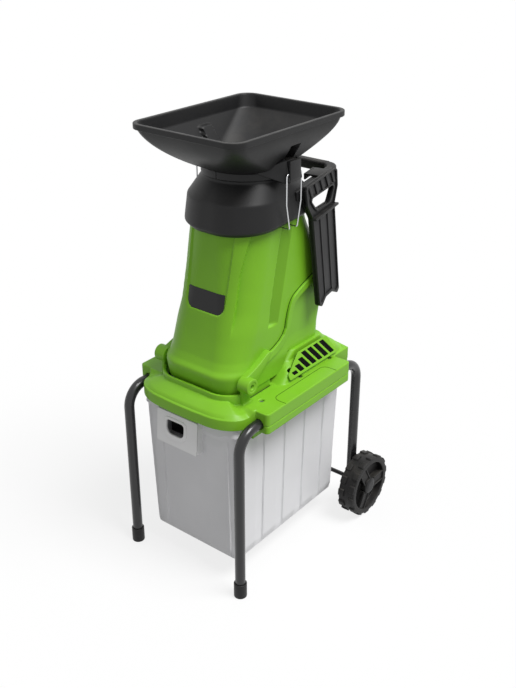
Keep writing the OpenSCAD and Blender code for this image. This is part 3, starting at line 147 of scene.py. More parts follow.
def clipped(points, faces, field):
    """The part of a mesh where the field, one number per point, is negative."""
    points, field = list(map(tuple, points)), list(field)
    made, kept = {}, []
    for face in faces:
        if all(field[k] < 0 for k in face):
            kept.append(list(face))
            continue
        if all(field[k] >= 0 for k in face):
            continue
        ring = []
        for a, b in zip(face, list(face[1:]) + [face[0]]):
            if field[a] < 0:
                ring.append(a)
            if (field[a] < 0) != (field[b] < 0):
                key = (min(a, b), max(a, b))
                if key not in made:
                    t = field[key[0]] / (field[key[0]] - field[key[1]])
                    p, q = np.array(points[key[0]]), np.array(points[key[1]])
                    made[key] = len(points)
                    points.append(tuple(p + t * (q - p)))
                    field.append(0.0)
                ring.append(made[key])
        if len(ring) > 2:
            kept.append(ring)
    used = sorted({k for f in kept for k in f})
    new = {k: i for i, k in enumerate(used)}
    return [points[k] for k in used], [[new[k] for k in f] for f in kept]


def eased(points):
    """A polyline with its corners cut twice, ends kept."""
    p = np.array(points, float)
    for _ in range(2):
        q = np.empty((2 * len(p) - 2, p.shape[1]))
        q[0::2] = 0.75 * p[:-1] + 0.25 * p[1:]
        q[1::2] = 0.25 * p[:-1] + 0.75 * p[1:]
        p = np.concatenate([p[:1], q, p[-1:]])
    return p


def signed_side(y, z, line):
    """Distance to a polyline in Y and Z: positive to the right of its direction."""
    best, side = np.full(np.shape(y), 1e9), np.zeros(np.shape(y))
    for a, b in zip(line[:-1], line[1:]):
        d = b - a
        t = np.clip(((y - a[0]) * d[0] + (z - a[1]) * d[1]) / (d @ d), 0, 1)
        dy, dz = y - a[0] - t * d[0], z - a[1] - t * d[1]
        dist = np.hypot(dy, dz)
        nearer = dist < best - 1e-9
        best = np.where(nearer, dist, best)
        side = np.where(nearer, np.sign(d[1] * dy - d[0] * dz), side)
    return best * side


def resampled(path, count):
    """An open path in a plane with evenly spaced points, and how far along each one lies."""
    p = np.array(path, float)
    run = np.concatenate([[0], np.cumsum(np.linalg.norm(np.diff(p, axis=0), axis=1))])
    at = np.linspace(0, run[-1], count)
    return np.stack([np.interp(at, run, p[:, k]) for k in range(2)], 1), at


# Meshes and pieces

def in_frame(place):
    """A placing matrix in millimetres about the feed axis, turned into one in metres in the frame."""
    shift = place.copy()
    shift.translation = (place.translation + Vector((0, AXIS_Y, 0))) * MM
    return shift


def mesh_of(points, faces, place=None):
    """A mesh from points in millimetres, moved by place first."""
    p = np.array(points, float).reshape(-1, 3)
    if place is not None:
        m = np.array(place)
        p = p @ m[:3, :3].T + m[:3, 3]
    mesh = bpy.data.meshes.new("part")
    mesh.from_pydata(((p + [0, AXIS_Y, 0]) * MM).tolist(), [], faces)
    mesh.validate()
    return mesh


def sheet(grid, field=None, wrap_rows=False, wrap_cols=True):
    """A mesh over a grid of points, kept only where the field, if one is given, is negative."""
    points, faces = grid.reshape(-1, 3), grid_faces(*grid.shape[:2], wrap_rows, wrap_cols)
    if field is not None:
        points, faces = clipped(points, faces, field.ravel())
    return mesh_of(points, faces)


def made_object(name, data):
    """Puts a mesh, curve, lamp or camera into the scene."""
    obj = bpy.data.objects.new(name, data)
    bpy.context.scene.collection.objects.link(obj)
    return obj


def evaluated(obj):
    """The object's mesh with its modifiers applied; the object is removed."""
    bpy.context.view_layer.update()
    graph = bpy.context.evaluated_depsgraph_get()
    mesh = bpy.data.meshes.new_from_object(obj.evaluated_get(graph), depsgraph=graph)
    bpy.data.objects.remove(obj)
    return mesh


def with_modifiers(mesh, *steps):
    """A mesh taken through modifiers, each given as (type, settings)."""
    obj = made_object("work", mesh)
    for kind, settings in steps:
        modifier = obj.modifiers.new(kind.lower(), kind)
        for key, value in settings.items():
            setattr(modifier, key, value)
    return evaluated(obj)


def walled(mesh, wall):
    """A sheet turned into a wall that grows inwards."""
    return with_modifiers(mesh, ("SOLIDIFY", {"thickness": wall * MM, "offset": -1.0}))


@contextlib.contextmanager
def opened(mesh):
    """A mesh opened for changes, which are written back at the end."""
    bm = bmesh.new()
    bm.from_mesh(mesh)
    yield bm
    bm.to_mesh(mesh)
    bm.free()


def tidy_normals(mesh):
    """Merges doubled points and turns all faces outwards."""
    with opened(mesh) as bm:
        bmesh.ops.remove_doubles(bm, verts=bm.verts, dist=1e-6)
        bmesh.ops.recalc_face_normals(bm, faces=bm.faces)
    return mesh


def piece(name, meshes, material, body, nodes=(), sharp=38):
    """Joins meshes into one named piece that rides on a body and stands for its nodes.

    Edges that turn by more than sharp, in degrees, stay crisp.
    """
    bm = bmesh.new()
    for mesh in meshes:
        bm.from_mesh(mesh)
    mesh = bpy.data.meshes.new(name)
    bm.to_mesh(mesh)
    bm.free()
    mesh.materials.clear()
    mesh.materials.append(material)
    mesh.polygons.foreach_set("material_index", [0] * len(mesh.polygons))
    mesh.shade_smooth()
    mesh.set_sharp_from_angle(angle=math.radians(sharp))
    obj = made_object(name, mesh)
    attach(obj, body)
    if nodes:
        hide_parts(*nodes)


def softened(node, voxel, rounds, faces):
    """A node's solid with its edges rounded off as a mould leaves them, in about that many faces."""
    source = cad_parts[node].data.copy()
    with opened(source) as bm:
        bmesh.ops.remove_doubles(bm, verts=bm.verts, dist=2e-6)
    source.materials.clear()
    mesh = with_modifiers(
        source,
        ("REMESH", {"mode": "VOXEL", "voxel_size": voxel * MM}),
        ("SMOOTH", {"factor": 0.5, "iterations": rounds}))
    share = faces / max(2 * len(mesh.polygons), 1)
    if share < 1:
        mesh = with_modifiers(mesh, ("DECIMATE", {"ratio": share}))
    return mesh


def prism(points, axis, a, b, bevel=0.0, place=None):
    """An outline raised along an axis from a to b, with rounded edges.

    The points give the other two axes in order.
    """
    order = {"x": (2, 0, 1), "y": (0, 2, 1), "z": (0, 1, 2)}[axis]

    def spot(p, h):
        q = (p[0], p[1], h)
        return [q[order[0]], q[order[1]], q[order[2]]]

    n = len(points)
    verts = [spot(p, a) for p in points] + [spot(p, b) for p in points]
    mesh = tidy_normals(mesh_of(verts, end_faces(2, n) + grid_faces(2, n), place))
    if bevel:
        with opened(mesh) as bm:
            edges = [e for e in bm.edges if e.calc_face_angle(0) > BEVEL_ANGLE]
            bmesh.ops.bevel(bm, geom=edges, offset=bevel * MM, offset_type="OFFSET", segments=3,
                            profile=0.5, affect="EDGES", clamp_overlap=True)
    return mesh


def brick(p, q, bevel, place=None):
    """A block from corner p to corner q with rounded edges."""
    corners = [(p[0], p[1]), (q[0], p[1]), (q[0], q[1]), (p[0], q[1])]
    return prism(corners, "z", p[2], q[2], bevel, place)


def turned(profile, place, steps):
    """A closed profile of (radius, height) turned about Z, then placed."""
    a = np.arange(steps) * 2 * math.pi / steps
    rows = np.array([[(r * math.cos(t), r * math.sin(t), h) for t in a] for r, h in profile])
    faces = grid_faces(len(profile), steps, wrap_rows=True)
    return tidy_normals(mesh_of(rows, faces, place))


def rounded_profile(points, radius, steps=5):
    """A closed outline with its corners rounded; radius is one number or one for each corner."""
    n, out = len(points), []
    for k in range(n):
        p, q, s = (np.array(points[(k + d) % n], float) for d in (-1, 0, 1))
        r = radius if np.isscalar(radius) else radius[k]
        u, v = p - q, s - q
        lu, lv = np.linalg.norm(u), np.linalg.norm(v)
        u, v = u / lu, v / lv
        half = math.acos(max(-1, min(1, float(u @ v)))) / 2
        if r <= 0 or half > 1.56:
            out.append(tuple(q))
            continue
        cut = min(r / math.tan(half), 0.49 * lu, 0.49 * lv)
        for t in np.linspace(0, 1, steps + 1):
            out.append(tuple((1 - t) ** 2 * (q + u * cut) + 2 * t * (1 - t) * q + t ** 2 * (q + v * cut)))
    return out


def plate(loops, thick, bevel, place, rounds=3):
    """A flat plate from closed outlines, the inner ones holes, with rounded rims.

    Half its thickness lies on either side of the outlines' plane.
    """
    data = bpy.data.curves.new("plate", "CURVE")
    data.dimensions, data.fill_mode = "2D", "BOTH"
    data.extrude = (thick / 2 - bevel) * MM
    data.bevel_depth, data.bevel_resolution, data.offset = bevel * MM, rounds, -bevel * MM
    for loop in loops:
        line = data.splines.new("POLY")
        line.points.add(len(loop) - 1)
        line.points.foreach_set("co", [c for p in loop for c in (p[0] * MM, p[1] * MM, 0, 1)])
        line.use_cyclic_u = True
    mesh = evaluated(made_object("plate", data))
    mesh.transform(in_frame(place))
    return tidy_normals(mesh)


def bar(rings):
    """A closed bar through rows of rings."""
    size = rings.shape[:2]
    return tidy_normals(mesh_of(rings, grid_faces(*size) + end_faces(*size)))


def tube(path, radius, steps):
    """A round tube along a path, with rings that keep their turn."""
    p = np.array(path, float)
    d = np.gradient(p, axis=0)
    d /= np.linalg.norm(d, axis=1, keepdims=True)
    up = np.array([0, 0, 1.0]) if abs(d[0][2]) < 0.9 else np.array([0, 1.0, 0])
    side = np.cross(d[0], up)
    side /= np.linalg.norm(side)
    turns = np.arange(steps) * 2 * math.pi / steps
    outline = radius * np.stack([np.cos(turns), np.sin(turns)], 1)
    rings = []
    for k in range(len(p)):
        side = side - d[k] * (side @ d[k])
        side /= np.linalg.norm(side)
        other = np.cross(d[k], side)
        rings.append(p[k] + outline[:, :1] * side + outline[:, 1:] * other)
    return bar(np.array(rings))


def bent_path(points, radius, steps):
    """A path through points with round bends."""
    p = [np.array(q, float) for q in points]
    out = [p[0]]
    for a, q, b in zip(p[:-2], p[1:-1], p[2:]):
        u, v = (a - q) / np.linalg.norm(a - q), (b - q) / np.linalg.norm(b - q)
        half = math.acos(max(-1, min(1, float(u @ v)))) / 2
        cut = min(radius / math.tan(half), 0.45 * np.linalg.norm(a - q), 0.45 * np.linalg.norm(b - q))
        r = cut * math.tan(half)
        mid = (u + v) / np.linalg.norm(u + v)
        centre = q + mid * r / math.sin(half)
        s, e = q + u * cut - centre, q + v * cut - centre
        total = math.acos(max(-1, min(1, float(s @ e) / (r * r))))
        for t in np.linspace(0, 1, steps + 1):
            w = (math.sin((1 - t) * total) * s + math.sin(t * total) * e) / math.sin(total)
            out.append(centre + w)
    return out + [p[-1]]


def finer(path, step):
    """A path with points no further apart than step."""
    out = [np.array(path[0], float)]
    for q in path[1:]:
        q, p = np.array(q, float), out[-1]
        n = max(int(math.ceil(np.linalg.norm(q - p) / step)), 1)
        out += [p + (q - p) * k / n for k in range(1, n + 1)]
    return out


def moved(x=0.0, y=0.0, z=0.0, turns=()):
    """A placing matrix in millimetres: a shift, then turns as (axis, degrees) in the shifted frame."""
    m = Matrix.Translation((x, y, z))
    for axis, degrees in turns:
        m = m @ Matrix.Rotation(math.radians(degrees), 4, axis)
    return m


MIRROR = Matrix.Diagonal((-1, 1, 1, 1))
SIDES = ((1, "right"), (-1, "left"))


def mirrored(mesh):
    """A mesh of the right side turned into one of the left side."""
    other = mesh.copy()
    other.transform(MIRROR)
    other.flip_normals()
    return other


def sided(sign, *meshes):
    """Meshes of the right side for sign 1, or their mirror images for sign -1."""
    return [mesh if sign > 0 else mirrored(mesh) for mesh in meshes]


def pair(*meshes):
    """Meshes of the right side, followed by their mirror images."""
    return sided(1, *meshes) + sided(-1, *meshes)


# Finishes

def srgb(*values):
    """Linear colour from 0 to 255 screen values."""
    return tuple(v / 255 / 12.92 if v < 10.4 else ((v / 255 + 0.055) / 1.055) ** 2.4 for v in values)


class Tree:
    """Short calls for building a node tree."""

    def __init__(self, tree):
        self.tree = tree

    def node(self, kind, **settings):
        made = self.tree.nodes.new(kind)
        for key, value in settings.items():
            setattr(made, key, value)
        return made

    def wire(self, a, b):
        self.tree.links.new(a, b)

    def maths(self, what, a, b, clamp=False):
        made = self.node("ShaderNodeMath", operation=what, use_clamp=clamp)
        for socket, value in zip(made.inputs, (a, b)):
            if isinstance(value, (int, float)):
                socket.default_value = value
            else:
                self.wire(value, socket)
        return made.outputs[0]

    def noise(self, vector, scale, detail=2.0, rough=0.5):
        made = self.node("ShaderNodeTexNoise")
        made.inputs["Detail"].default_value = detail
        made.inputs["Roughness"].default_value = rough
        self.wire(vector, made.inputs["Vector"])
        if isinstance(scale, (int, float)):
            made.inputs["Scale"].default_value = scale
        else:
            self.wire(scale, made.inputs["Scale"])
        return made.outputs["Fac"]

    def spread(self, value, low, high):
        """Value from low to high stretched to 0 to 1."""
        made = self.node("ShaderNodeMapRange", interpolation_type="SMOOTHSTEP")
        made.inputs["From Min"].default_value = low
        made.inputs["From Max"].default_value = high
        self.wire(value, made.inputs["Value"])
        return made.outputs["Result"]

    def tint(self, mask, a, b):
        """Colour a, turning to b where the mask is 1."""
        made = self.node("ShaderNodeMix", data_type="RGBA")
        self.wire(mask, made.inputs["Factor"])
        for name, value in (("A", a), ("B", b)):
            socket = [s for s in made.inputs if s.name == name and s.type == "RGBA"][0]
            if isinstance(value, tuple):
                socket.default_value = (*value[:3], 1)
            else:
                self.wire(value, socket)
        return [s for s in made.outputs if s.type == "RGBA"][0]


def shared_group(name, inputs, outputs):
    """A shader node group with named sockets, with its input and output nodes."""
    tree = bpy.data.node_groups.new(name, "ShaderNodeTree")
    for label, kind, value in inputs:
        socket = tree.interface.new_socket(label, in_out="INPUT", socket_type=kind)
        if value is not None:
            socket.default_value = value
    for label in outputs:
        tree.interface.new_socket(label, in_out="OUTPUT", socket_type="NodeSocketFloat")
    t = Tree(tree)
    return t, t.node("NodeGroupInput"), t.node("NodeGroupOutput")


PLACE = ("Place", "NodeSocketVector", None)
NUMBER = "NodeSocketFloat"


def mould_grain():
    """Fine grain of a moulded or sprayed skin, with slow blotches of tone."""
    inputs = [PLACE, ("Grain size", NUMBER, 900.0), ("Blotch size", NUMBER, 9.0)]
    t, i, o = shared_group("Mould grain", inputs, ("Height", "Tone"))
    t.wire(t.noise(i.outputs["Place"], i.outputs["Grain size"], 2.0, 0.6), o.inputs["Height"])
    blotches = t.noise(i.outputs["Place"], i.outputs["Blotch size"], 4.0, 0.55)
    t.wire(t.spread(blotches, 0.3, 0.7), o.inputs["Tone"])
    return t.tree


def edge_wear():
    """Rubbed edges: where the surface is sharp, broken up by noise."""
    t, i, o = shared_group("Edge wear", [PLACE, ("Amount", NUMBER, 0.5)], ("Mask",))
    geometry = t.node("ShaderNodeNewGeometry")
    sharp = t.spread(geometry.outputs["Pointiness"], 0.515, 0.60)
    patchy = t.spread(t.noise(i.outputs["Place"], 60.0, 4.0), 0.35, 0.7)
    rubbed = t.maths("MULTIPLY", sharp, patchy)
    t.wire(t.maths("MULTIPLY", rubbed, i.outputs["Amount"], True), o.inputs["Mask"])
    return t.tree


def settled_dust():
    """Thin dust on faces that look up."""
    t, i, o = shared_group("Settled dust", [PLACE, ("Amount", NUMBER, 0.2)], ("Mask",))
    geometry = t.node("ShaderNodeNewGeometry")
    split = t.node("ShaderNodeSeparateXYZ")
    t.wire(geometry.outputs["Normal"], split.inputs[0])
    up = t.spread(split.outputs["Z"], 0.45, 1.0)
    patchy = t.spread(t.noise(i.outputs["Place"], 22.0, 5.0, 0.6), 0.35, 0.75)
    dusty = t.maths("MULTIPLY", up, patchy)
    t.wire(t.maths("MULTIPLY", dusty, i.outputs["Amount"], True), o.inputs["Mask"])
    return t.tree


GROUPS = {}
FINISHES = {}


def effect(t, maker, place, **values):
    """Places a shared group in a material with its own values."""
    if maker.__name__ not in GROUPS:
        GROUPS[maker.__name__] = maker()
    made = t.node("ShaderNodeGroup")
    made.node_tree = GROUPS[maker.__name__]
    t.wire(place, made.inputs["Place"])
    for label, value in values.items():
        made.inputs[label.replace("_", " ")].default_value = value
    return made


BLOTCH_SIZE = 9.0
BUMP_HEIGHT = 0.0004
COAT_ROUGHNESS = 0.12
GLOSS_CHANGE = 0.08
DUST_COLOUR = srgb(168, 162, 150)
DUST_ROUGHNESS = 0.3


def finish(name, colour, rough, grain=1000.0, depth=0.1, tone=0.1, wear=0.1, dust=0.03, metal=0.0,
           specular=0.3, coat=0.0, stretch=(1, 1, 1)):
    """A procedural finish: grain in the bump, blotches in colour and gloss, rubbed edges and thin dust."""
    if name in FINISHES:
        return FINISHES[name]
    material = bpy.data.materials.new(name)
    material.use_nodes = True
    t = Tree(material.node_tree)
    shader = material.node_tree.nodes["Principled BSDF"]
    coords = t.node("ShaderNodeTexCoord")
    mapping = t.node("ShaderNodeMapping")
    mapping.inputs["Scale"].default_value = stretch
    t.wire(coords.outputs["Object"], mapping.inputs["Vector"])
    skin = effect(t, mould_grain, mapping.outputs["Vector"], Grain_size=grain, Blotch_size=BLOTCH_SIZE)
    rubbed = effect(t, edge_wear, coords.outputs["Object"], Amount=wear)
    dusty = effect(t, settled_dust, coords.outputs["Object"], Amount=dust)
    deep = tuple(c * (1 - tone) for c in colour)
    bare = tuple(min(1.0, c * 1.25 + 0.02) for c in colour)
    shade = t.tint(skin.outputs["Tone"], deep, tuple(colour))
    shade = t.tint(rubbed.outputs["Mask"], shade, bare)
    shade = t.tint(dusty.outputs["Mask"], shade, DUST_COLOUR)
    t.wire(shade, shader.inputs["Base Color"])
    gloss = t.maths("MULTIPLY", skin.outputs["Tone"], GLOSS_CHANGE)
    gloss = t.maths("ADD", gloss, rough - GLOSS_CHANGE / 2)
    gloss = t.maths("ADD", gloss, t.maths("MULTIPLY", dusty.outputs["Mask"], DUST_ROUGHNESS), True)
    t.wire(gloss, shader.inputs["Roughness"])
    shader.inputs["Metallic"].default_value = metal
    shader.inputs["Specular IOR Level"].default_value = specular
    shader.inputs["Coat Weight"].default_value = coat
    shader.inputs["Coat Roughness"].default_value = COAT_ROUGHNESS
    bump = t.node("ShaderNodeBump")
    bump.inputs["Strength"].default_value = depth
    bump.inputs["Distance"].default_value = BUMP_HEIGHT
    t.wire(skin.outputs["Height"], bump.inputs["Height"])
    t.wire(bump.outputs["Normal"], shader.inputs["Normal"])
    FINISHES[name] = material
    return material


def bare_metal(name, colour, rough, **values):
    """A finish of bare metal."""
    return finish(name, colour, rough, metal=1.0, specular=0.5, **values)


def chosen(name):
    """A colour from the panel."""
    return tuple(getattr(bpy.context.scene.shredder_colours, name))


def green():
    return finish("green moulding", chosen("green"), 0.42, grain=1100.0, depth=0.12, tone=0.07, wear=0.2)


def black():
    return finish("black moulding", chosen("black"), 0.46, depth=0.22, tone=0.18, wear=0.22, dust=0.05)


def tube_paint():
    return finish("tube paint", chosen("tube"), 0.3, grain=1600.0, depth=0.08, tone=0.15, wear=0.15,
                  dust=0.04, specular=0.45, coat=0.25)


def wheel_plastic():
    return finish("wheel moulding", chosen("wheel"), 0.55, grain=800.0, depth=0.25, tone=0.2, wear=0.3,
                  dust=0.08)


def grey():
    return finish("grey moulding", chosen("box"), 0.38, depth=0.08, tone=0.035, wear=0.12, specular=0.35)


# Painted shade: a darker green than the hood, standing in for the shade on the floor of the hood's side
# strips.
def painted_shade_green():
    return finish("strip moulding", srgb(112, 167, 34), 0.42, depth=0.12, tone=0.05, wear=0.12)


# Painted light: a whiter grey than the box, standing in for the brighter light on the hand plate.
def pale():
    return finish("pale moulding", srgb(252, 252, 252), 0.34, depth=0.06, tone=0.02, specular=0.4)


def badge_skin():
    return finish("badge skin", srgb(28, 28, 29), 0.38, grain=1500.0, depth=0.05, dust=0.02, specular=0.25,
                  coat=0.08)


# Painted shade: thin dark green lines that stand in for the shadow in narrow grooves and steps.
def seam_shade():
    return finish("seam shade", srgb(52, 84, 20), 0.7, grain=900.0, wear=0.0, dust=0.0, specular=0.1)


# Painted shade: near-black plates set behind slots and in pockets, standing in for the shade inside them.
def filter_foam():
    return finish("filter foam", srgb(10, 10, 10), 0.9, grain=350.0, depth=0.8, tone=0.3, wear=0.0,
                  dust=0.02, specular=0.1)


def rubber():
    return finish("rubber", srgb(26, 26, 27), 0.72, grain=600.0, depth=0.3, tone=0.25, wear=0.3, dust=0.1,
                  specular=0.25)


def on_green():
    return finish("start green", srgb(40, 150, 60), 0.35, wear=0.2, specular=0.35)


def off_red():
    return finish("stop red", srgb(178, 34, 34), 0.35, wear=0.2, specular=0.35)


def steel():
    return bare_metal("bright steel", srgb(205, 206, 208), 0.24, grain=700.0, tone=0.12,
                      stretch=(1, 1, 0.06))


def cast_alloy():
    return bare_metal("cast metal", srgb(176, 177, 178), 0.5, grain=420.0, depth=0.35, tone=0.18, wear=0.3,
                      dust=0.05)


def knife_steel():
    return bare_metal("ground steel", srgb(212, 213, 216), 0.2, grain=500.0, depth=0.12, tone=0.15,
                      wear=0.3, dust=0.02, stretch=(0.08, 1, 1))


def dark_steel():
    return bare_metal("dark steel", srgb(88, 88, 90), 0.38, grain=700.0, depth=0.15, tone=0.2, wear=0.4)


def copper():
    return bare_metal("copper winding", srgb(168, 96, 52), 0.35, grain=300.0, depth=0.5, tone=0.25,
                      dust=0.02, stretch=(1, 1, 6))


def dress(material, *nodes):
    """Gives CAD nodes that stay in sight a finish."""
    for name in nodes:
        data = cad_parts[name].data
        data.materials.clear()
        data.materials.append(material)


# Repeated details

def copies_tree():
    """Node tree that repeats its geometry: Count copies, each one Step further and Turn more about Z."""
    if "Repeated copies" in bpy.data.node_groups:
        return bpy.data.node_groups["Repeated copies"]
    tree = bpy.data.node_groups.new("Repeated copies", "GeometryNodeTree")
    for label, kind in (("Geometry", "NodeSocketGeometry"), ("Count", "NodeSocketInt"),
                        ("Step", "NodeSocketVector"), ("Turn", "NodeSocketFloat"),
                        ("Material", "NodeSocketMaterial")):
        tree.interface.new_socket(label, in_out="INPUT", socket_type=kind)
    tree.interface.new_socket("Geometry", in_out="OUTPUT", socket_type="NodeSocketGeometry")
    t = Tree(tree)
    start, end = t.node("NodeGroupInput"), t.node("NodeGroupOutput")
    line, index = t.node("GeometryNodeMeshLine"), t.node("GeometryNodeInputIndex")
    place, real = t.node("GeometryNodeInstanceOnPoints"), t.node("GeometryNodeRealizeInstances")
    paint, turn = t.node("GeometryNodeSetMaterial"), t.node("ShaderNodeCombineXYZ")
    t.wire(start.outputs["Count"], line.inputs["Count"])
    t.wire(start.outputs["Step"], line.inputs["Offset"])
    t.wire(line.outputs["Mesh"], place.inputs["Points"])
    t.wire(start.outputs["Geometry"], place.inputs["Instance"])
    t.wire(t.maths("MULTIPLY", index.outputs["Index"], start.outputs["Turn"]), turn.inputs["Z"])
    t.wire(turn.outputs["Vector"], place.inputs["Rotation"])
    t.wire(place.outputs["Instances"], real.inputs["Geometry"])
    t.wire(real.outputs["Geometry"], paint.inputs["Geometry"])
    t.wire(start.outputs["Material"], paint.inputs["Material"])
    t.wire(paint.outputs["Geometry"], end.inputs["Geometry"])
    return tree


def copies(mesh, count, material, place, step=(0, 0, 0), turn=0.0):
    """Copies of a mesh, made by the node tree in the mesh's own frame, then placed in millimetres."""
    obj = made_object("copies", mesh)
    modifier = obj.modifiers.new("copies", "NODES")
    tree = copies_tree()
    modifier.node_group = tree
    values = {"Count": count, "Step": Vector(step) * MM, "Turn": turn, "Material": material}
    for item in tree.interface.items_tree:
        if item.in_out == "INPUT" and item.name in values:
            modifier[item.identifier] = values[item.name]
    made = evaluated(obj)
    made.transform(in_frame(place))
    return made


def own_frame(mesh):
    """Moves a mesh back from the feed axis to the origin, so that it can be copied and placed."""
    mesh.transform(Matrix.Translation((0, -AXIS_Y * MM, 0)))
    return mesh


# Planes for plates: an outline in Y and Z with its thickness along X, or in X and Z with it along Y
YZ = Matrix(((0, 0, 1, 0), (1, 0, 0, 0), (0, 1, 0, 0), (0, 0, 0, 1)))
XZ = Matrix.Rotation(math.pi / 2, 4, "X")
CIRCLE_STEPS = 32


def circle(x, y, r):
    turns = np.arange(CIRCLE_STEPS) * 2 * math.pi / CIRCLE_STEPS
    return [(x + r * math.cos(t), y + r * math.sin(t)) for t in turns]


def rectangle(x0, y0, x1, y1, r, steps=6):
    return rounded_profile([(x0, y0), (x1, y0), (x1, y1), (x0, y1)], r, steps)


# Hood

NECK_Y, NECK_RADIUS = 8, 87
HINGE_Y, HINGE_Z = -127, 465
TOWER = [
    [438, 101.5, 157, 150, 52, 30], [474, 102.3, 166, 150, 58, 30], [480, 102, 165, 152, 58, 30],
    [488, 100.6, 158, 155, 58, 30], [504, 98.6, 150, 160, 58, 32], [542, 98, 138.5, 172, 60, 34],
    [606.6, 97, 123.2, 174, 66, 38], [678.8, 95, 112.1, 150, 74, 46], [751, 94, 103, 118, 82, 56],
    [775.8, 93, 101, 116, 82, 56]]
TOWER_COUNTS = (10, 64, 84, 14, 12)
TOWER_WALL = 3
COVER_EDGE = [(20, 502), (36, 574), (58, 594), (224, 646), (300, 669.8)]
STRIP_FOOT = 555
BADGE_Z, BADGE_HALF_X, BADGE_HALF_Z = 614.6, 47, 22


def tower_rows(step):
    """Section rows of the hood, crisp at the flange and smooth above it."""
    crisp, smooth = along(TOWER, step, 2.0), along(TOWER, step, 9.0)
    share = ramp(crisp[:, :1] - 512, 40)
    return crisp * (1 - share) + smooth * share


def cover_line(shift=0.0):
    """The edge between hood and motor cover in Y and Z, moved up and forward by shift."""
    return eased([(-45.6, 413), (20, 464.2)] + COVER_EDGE) + [-shift, shift]


def raised_line():
    """The hood's raised edge in Y and Z, from its front corner to the rear."""
    return eased([(-93, 475)] + COVER_EDGE)


def tower_side(y, z):
    """Half width of the hood at a place on its side."""
    rows = tower_rows(1.0)
    w, f, b, rf, rb = (np.interp(z, rows[:, 0], rows[:, k]) for k in range(1, 6))
    front = w - rf + np.sqrt(rf ** 2 - np.clip(rf - f - y, 0, rf) ** 2)
    rear = w - rb + np.sqrt(rb ** 2 - np.clip(y - b + rb, 0, rb) ** 2)
    return np.minimum(front, rear)


def tower_front(x, z, grow):
    """Depth of the hood's front face at a place, grown by grow."""
    rows = tower_rows(1.0)
    w, f, r = (np.interp(z, rows[:, 0], rows[:, k]) + grow for k in (1, 2, 4))
    return r - f - np.sqrt(np.maximum(r ** 2 - np.maximum(np.abs(x) - w + r, 0) ** 2, 0))


def strip_edges(z):
    """Front and rear limits of the recessed strip on the hood's side."""
    return 6.6 + 0.2438 * (z - 745), 41 + 0.2595 * (z - 746)


def side_strip(depth):
    """The floor of the recessed strip on the hood's right side."""
    z, t = np.meshgrid(np.linspace(556, 752, 110), np.linspace(0.07, 0.97, 9), indexing="ij")
    near, far = strip_edges(z)
    y = near + (far - near) * t
    x = tower_side(y, z) - depth * (1 - t) * ramp(z - STRIP_FOOT, 7) + 0.6
    return walled(sheet(np.stack([x, y, z], 2), wrap_cols=False), 1)


def along_edge(section):
    """Rings of points along the hood's raised edge on its right side.

    The section gives, for each point of a ring, its place across the edge and its height above the wall.
    """
    line = resampled(raised_line(), 190)[0]
    line = line[(line[:, 0] > -84) & (line[:, 0] < 118)]
    way = np.gradient(line, axis=0)
    way /= np.linalg.norm(way, axis=1)[:, None]
    across, height = np.array(section).T
    y, z = line[:, :1] + way[:, 1:] * across, line[:, 1:] - way[:, :1] * across
    return np.stack([tower_side(y, z) + height, y, z], 2)


def edge_band(rise):
    """A flat band along the hood's raised edge, on its right side."""
    return bar(along_edge([(-13.4, -2), (-13, rise - 0.8), (-12.2, rise), (0.4, rise), (1.2, rise - 0.8),
                           (1.5, -8)]))


def build_hood(sizes):
    groove, rise = sizes.groove_depth / MM, sizes.edge_rise / MM
    grid = outlines(tower_rows(2.7), TOWER_COUNTS)
    x, y, z = (grid[..., k] for k in range(3))
    side = np.abs(x)
    half, wider = 50, 50 + 4 * (z - 620) / 130
    panel = rounded_box(x * half / wider, z - 770, half, 177, 20)
    out = -sizes.panel_depth / MM * ramp(-panel, 2.6) * ramp(-y - 30, 20)
    band = 69.5 + 8.5 * np.clip((z - 674) / 78, 0, 1.2)
    past = side - band
    fade = np.exp(-np.maximum(past, 0) / 19) * ramp(z - 575, 50) * ramp(-y, 40)
    out -= sizes.valley_depth / MM * ramp(past, 1.6) * fade
    near, far = strip_edges(z)
    inside = ramp(y - near, 2.4) * ramp(far - y + 1, 3) * ramp(z - STRIP_FOOT, 7) * ramp(side - 85, 6)
    out -= groove * np.clip((far - y) / (far - near), 0, 1) * inside
    edge = signed_side(y, z, raised_line())
    out += rise * ramp(edge + 9, 4) * ramp(1.5 - edge, 3)
    cut = signed_side(y, z, cover_line())
    shell = walled(sheet(grid + grid_normals(grid) * out[..., None], cut), TOWER_WALL)
    boss = [(5.05, -12), (17.2, -12), (17.2, 15), (11.5, 15), (10.5, 14), (6.2, 14), (5.05, 12)]
    boss = rounded_profile(boss, [0, 1, 2.2, 0.6, 0.6, 0.8, 0])
    arm = eased([(HINGE_Y - 4, HINGE_Z + 16), (-88, HINGE_Z + 29), (-52, HINGE_Z + 49), (-44, HINGE_Z + 38),
                 (-84, HINGE_Z + 6), (HINGE_Y + 10, HINGE_Z - 13)])
    right = [edge_band(rise + 0.6), turned(boss, moved(111.8, HINGE_Y, HINGE_Z, [("Y", 90)]), 56),
             prism(arm, "x", 98, 113, 2.2)]
    # The side strips are coloured with painted shade, a darker green for the shade on their slanted floor.
    piece("side_strips", pair(side_strip(groove)), painted_shade_green(), "hood", [])
    # Painted shade: a thin dark tube along the foot of the raised band, standing in for the shadow line at
    # its step.
    shade_line = tube(along_edge([(-14, 0.2)])[:, 0], 1.0, 8)
    piece("edge_seams", pair(shade_line), seam_shade(), "hood", [])
    piece("hood_shell", [shell, *pair(*right)], green(), "hood", ["hood"])


def build_motor_cover():
    grid = outlines(tower_rows(3.4), TOWER_COUNTS, -6)
    y, z = grid[..., 1], grid[..., 2]
    keep = np.maximum(474.3 - z, -signed_side(y, z, cover_line(8)))
    tab = plate([rectangle(-21, 140, 21, 199, 5), circle(0, 186, 5.2)], 7, 1.2, moved(0, 0, 477.8))
    shell = walled(sheet(grid, keep), TOWER_WALL)
    piece("motor_cover_shell", [shell, tab], green(), "hood", ["motor_cover"])


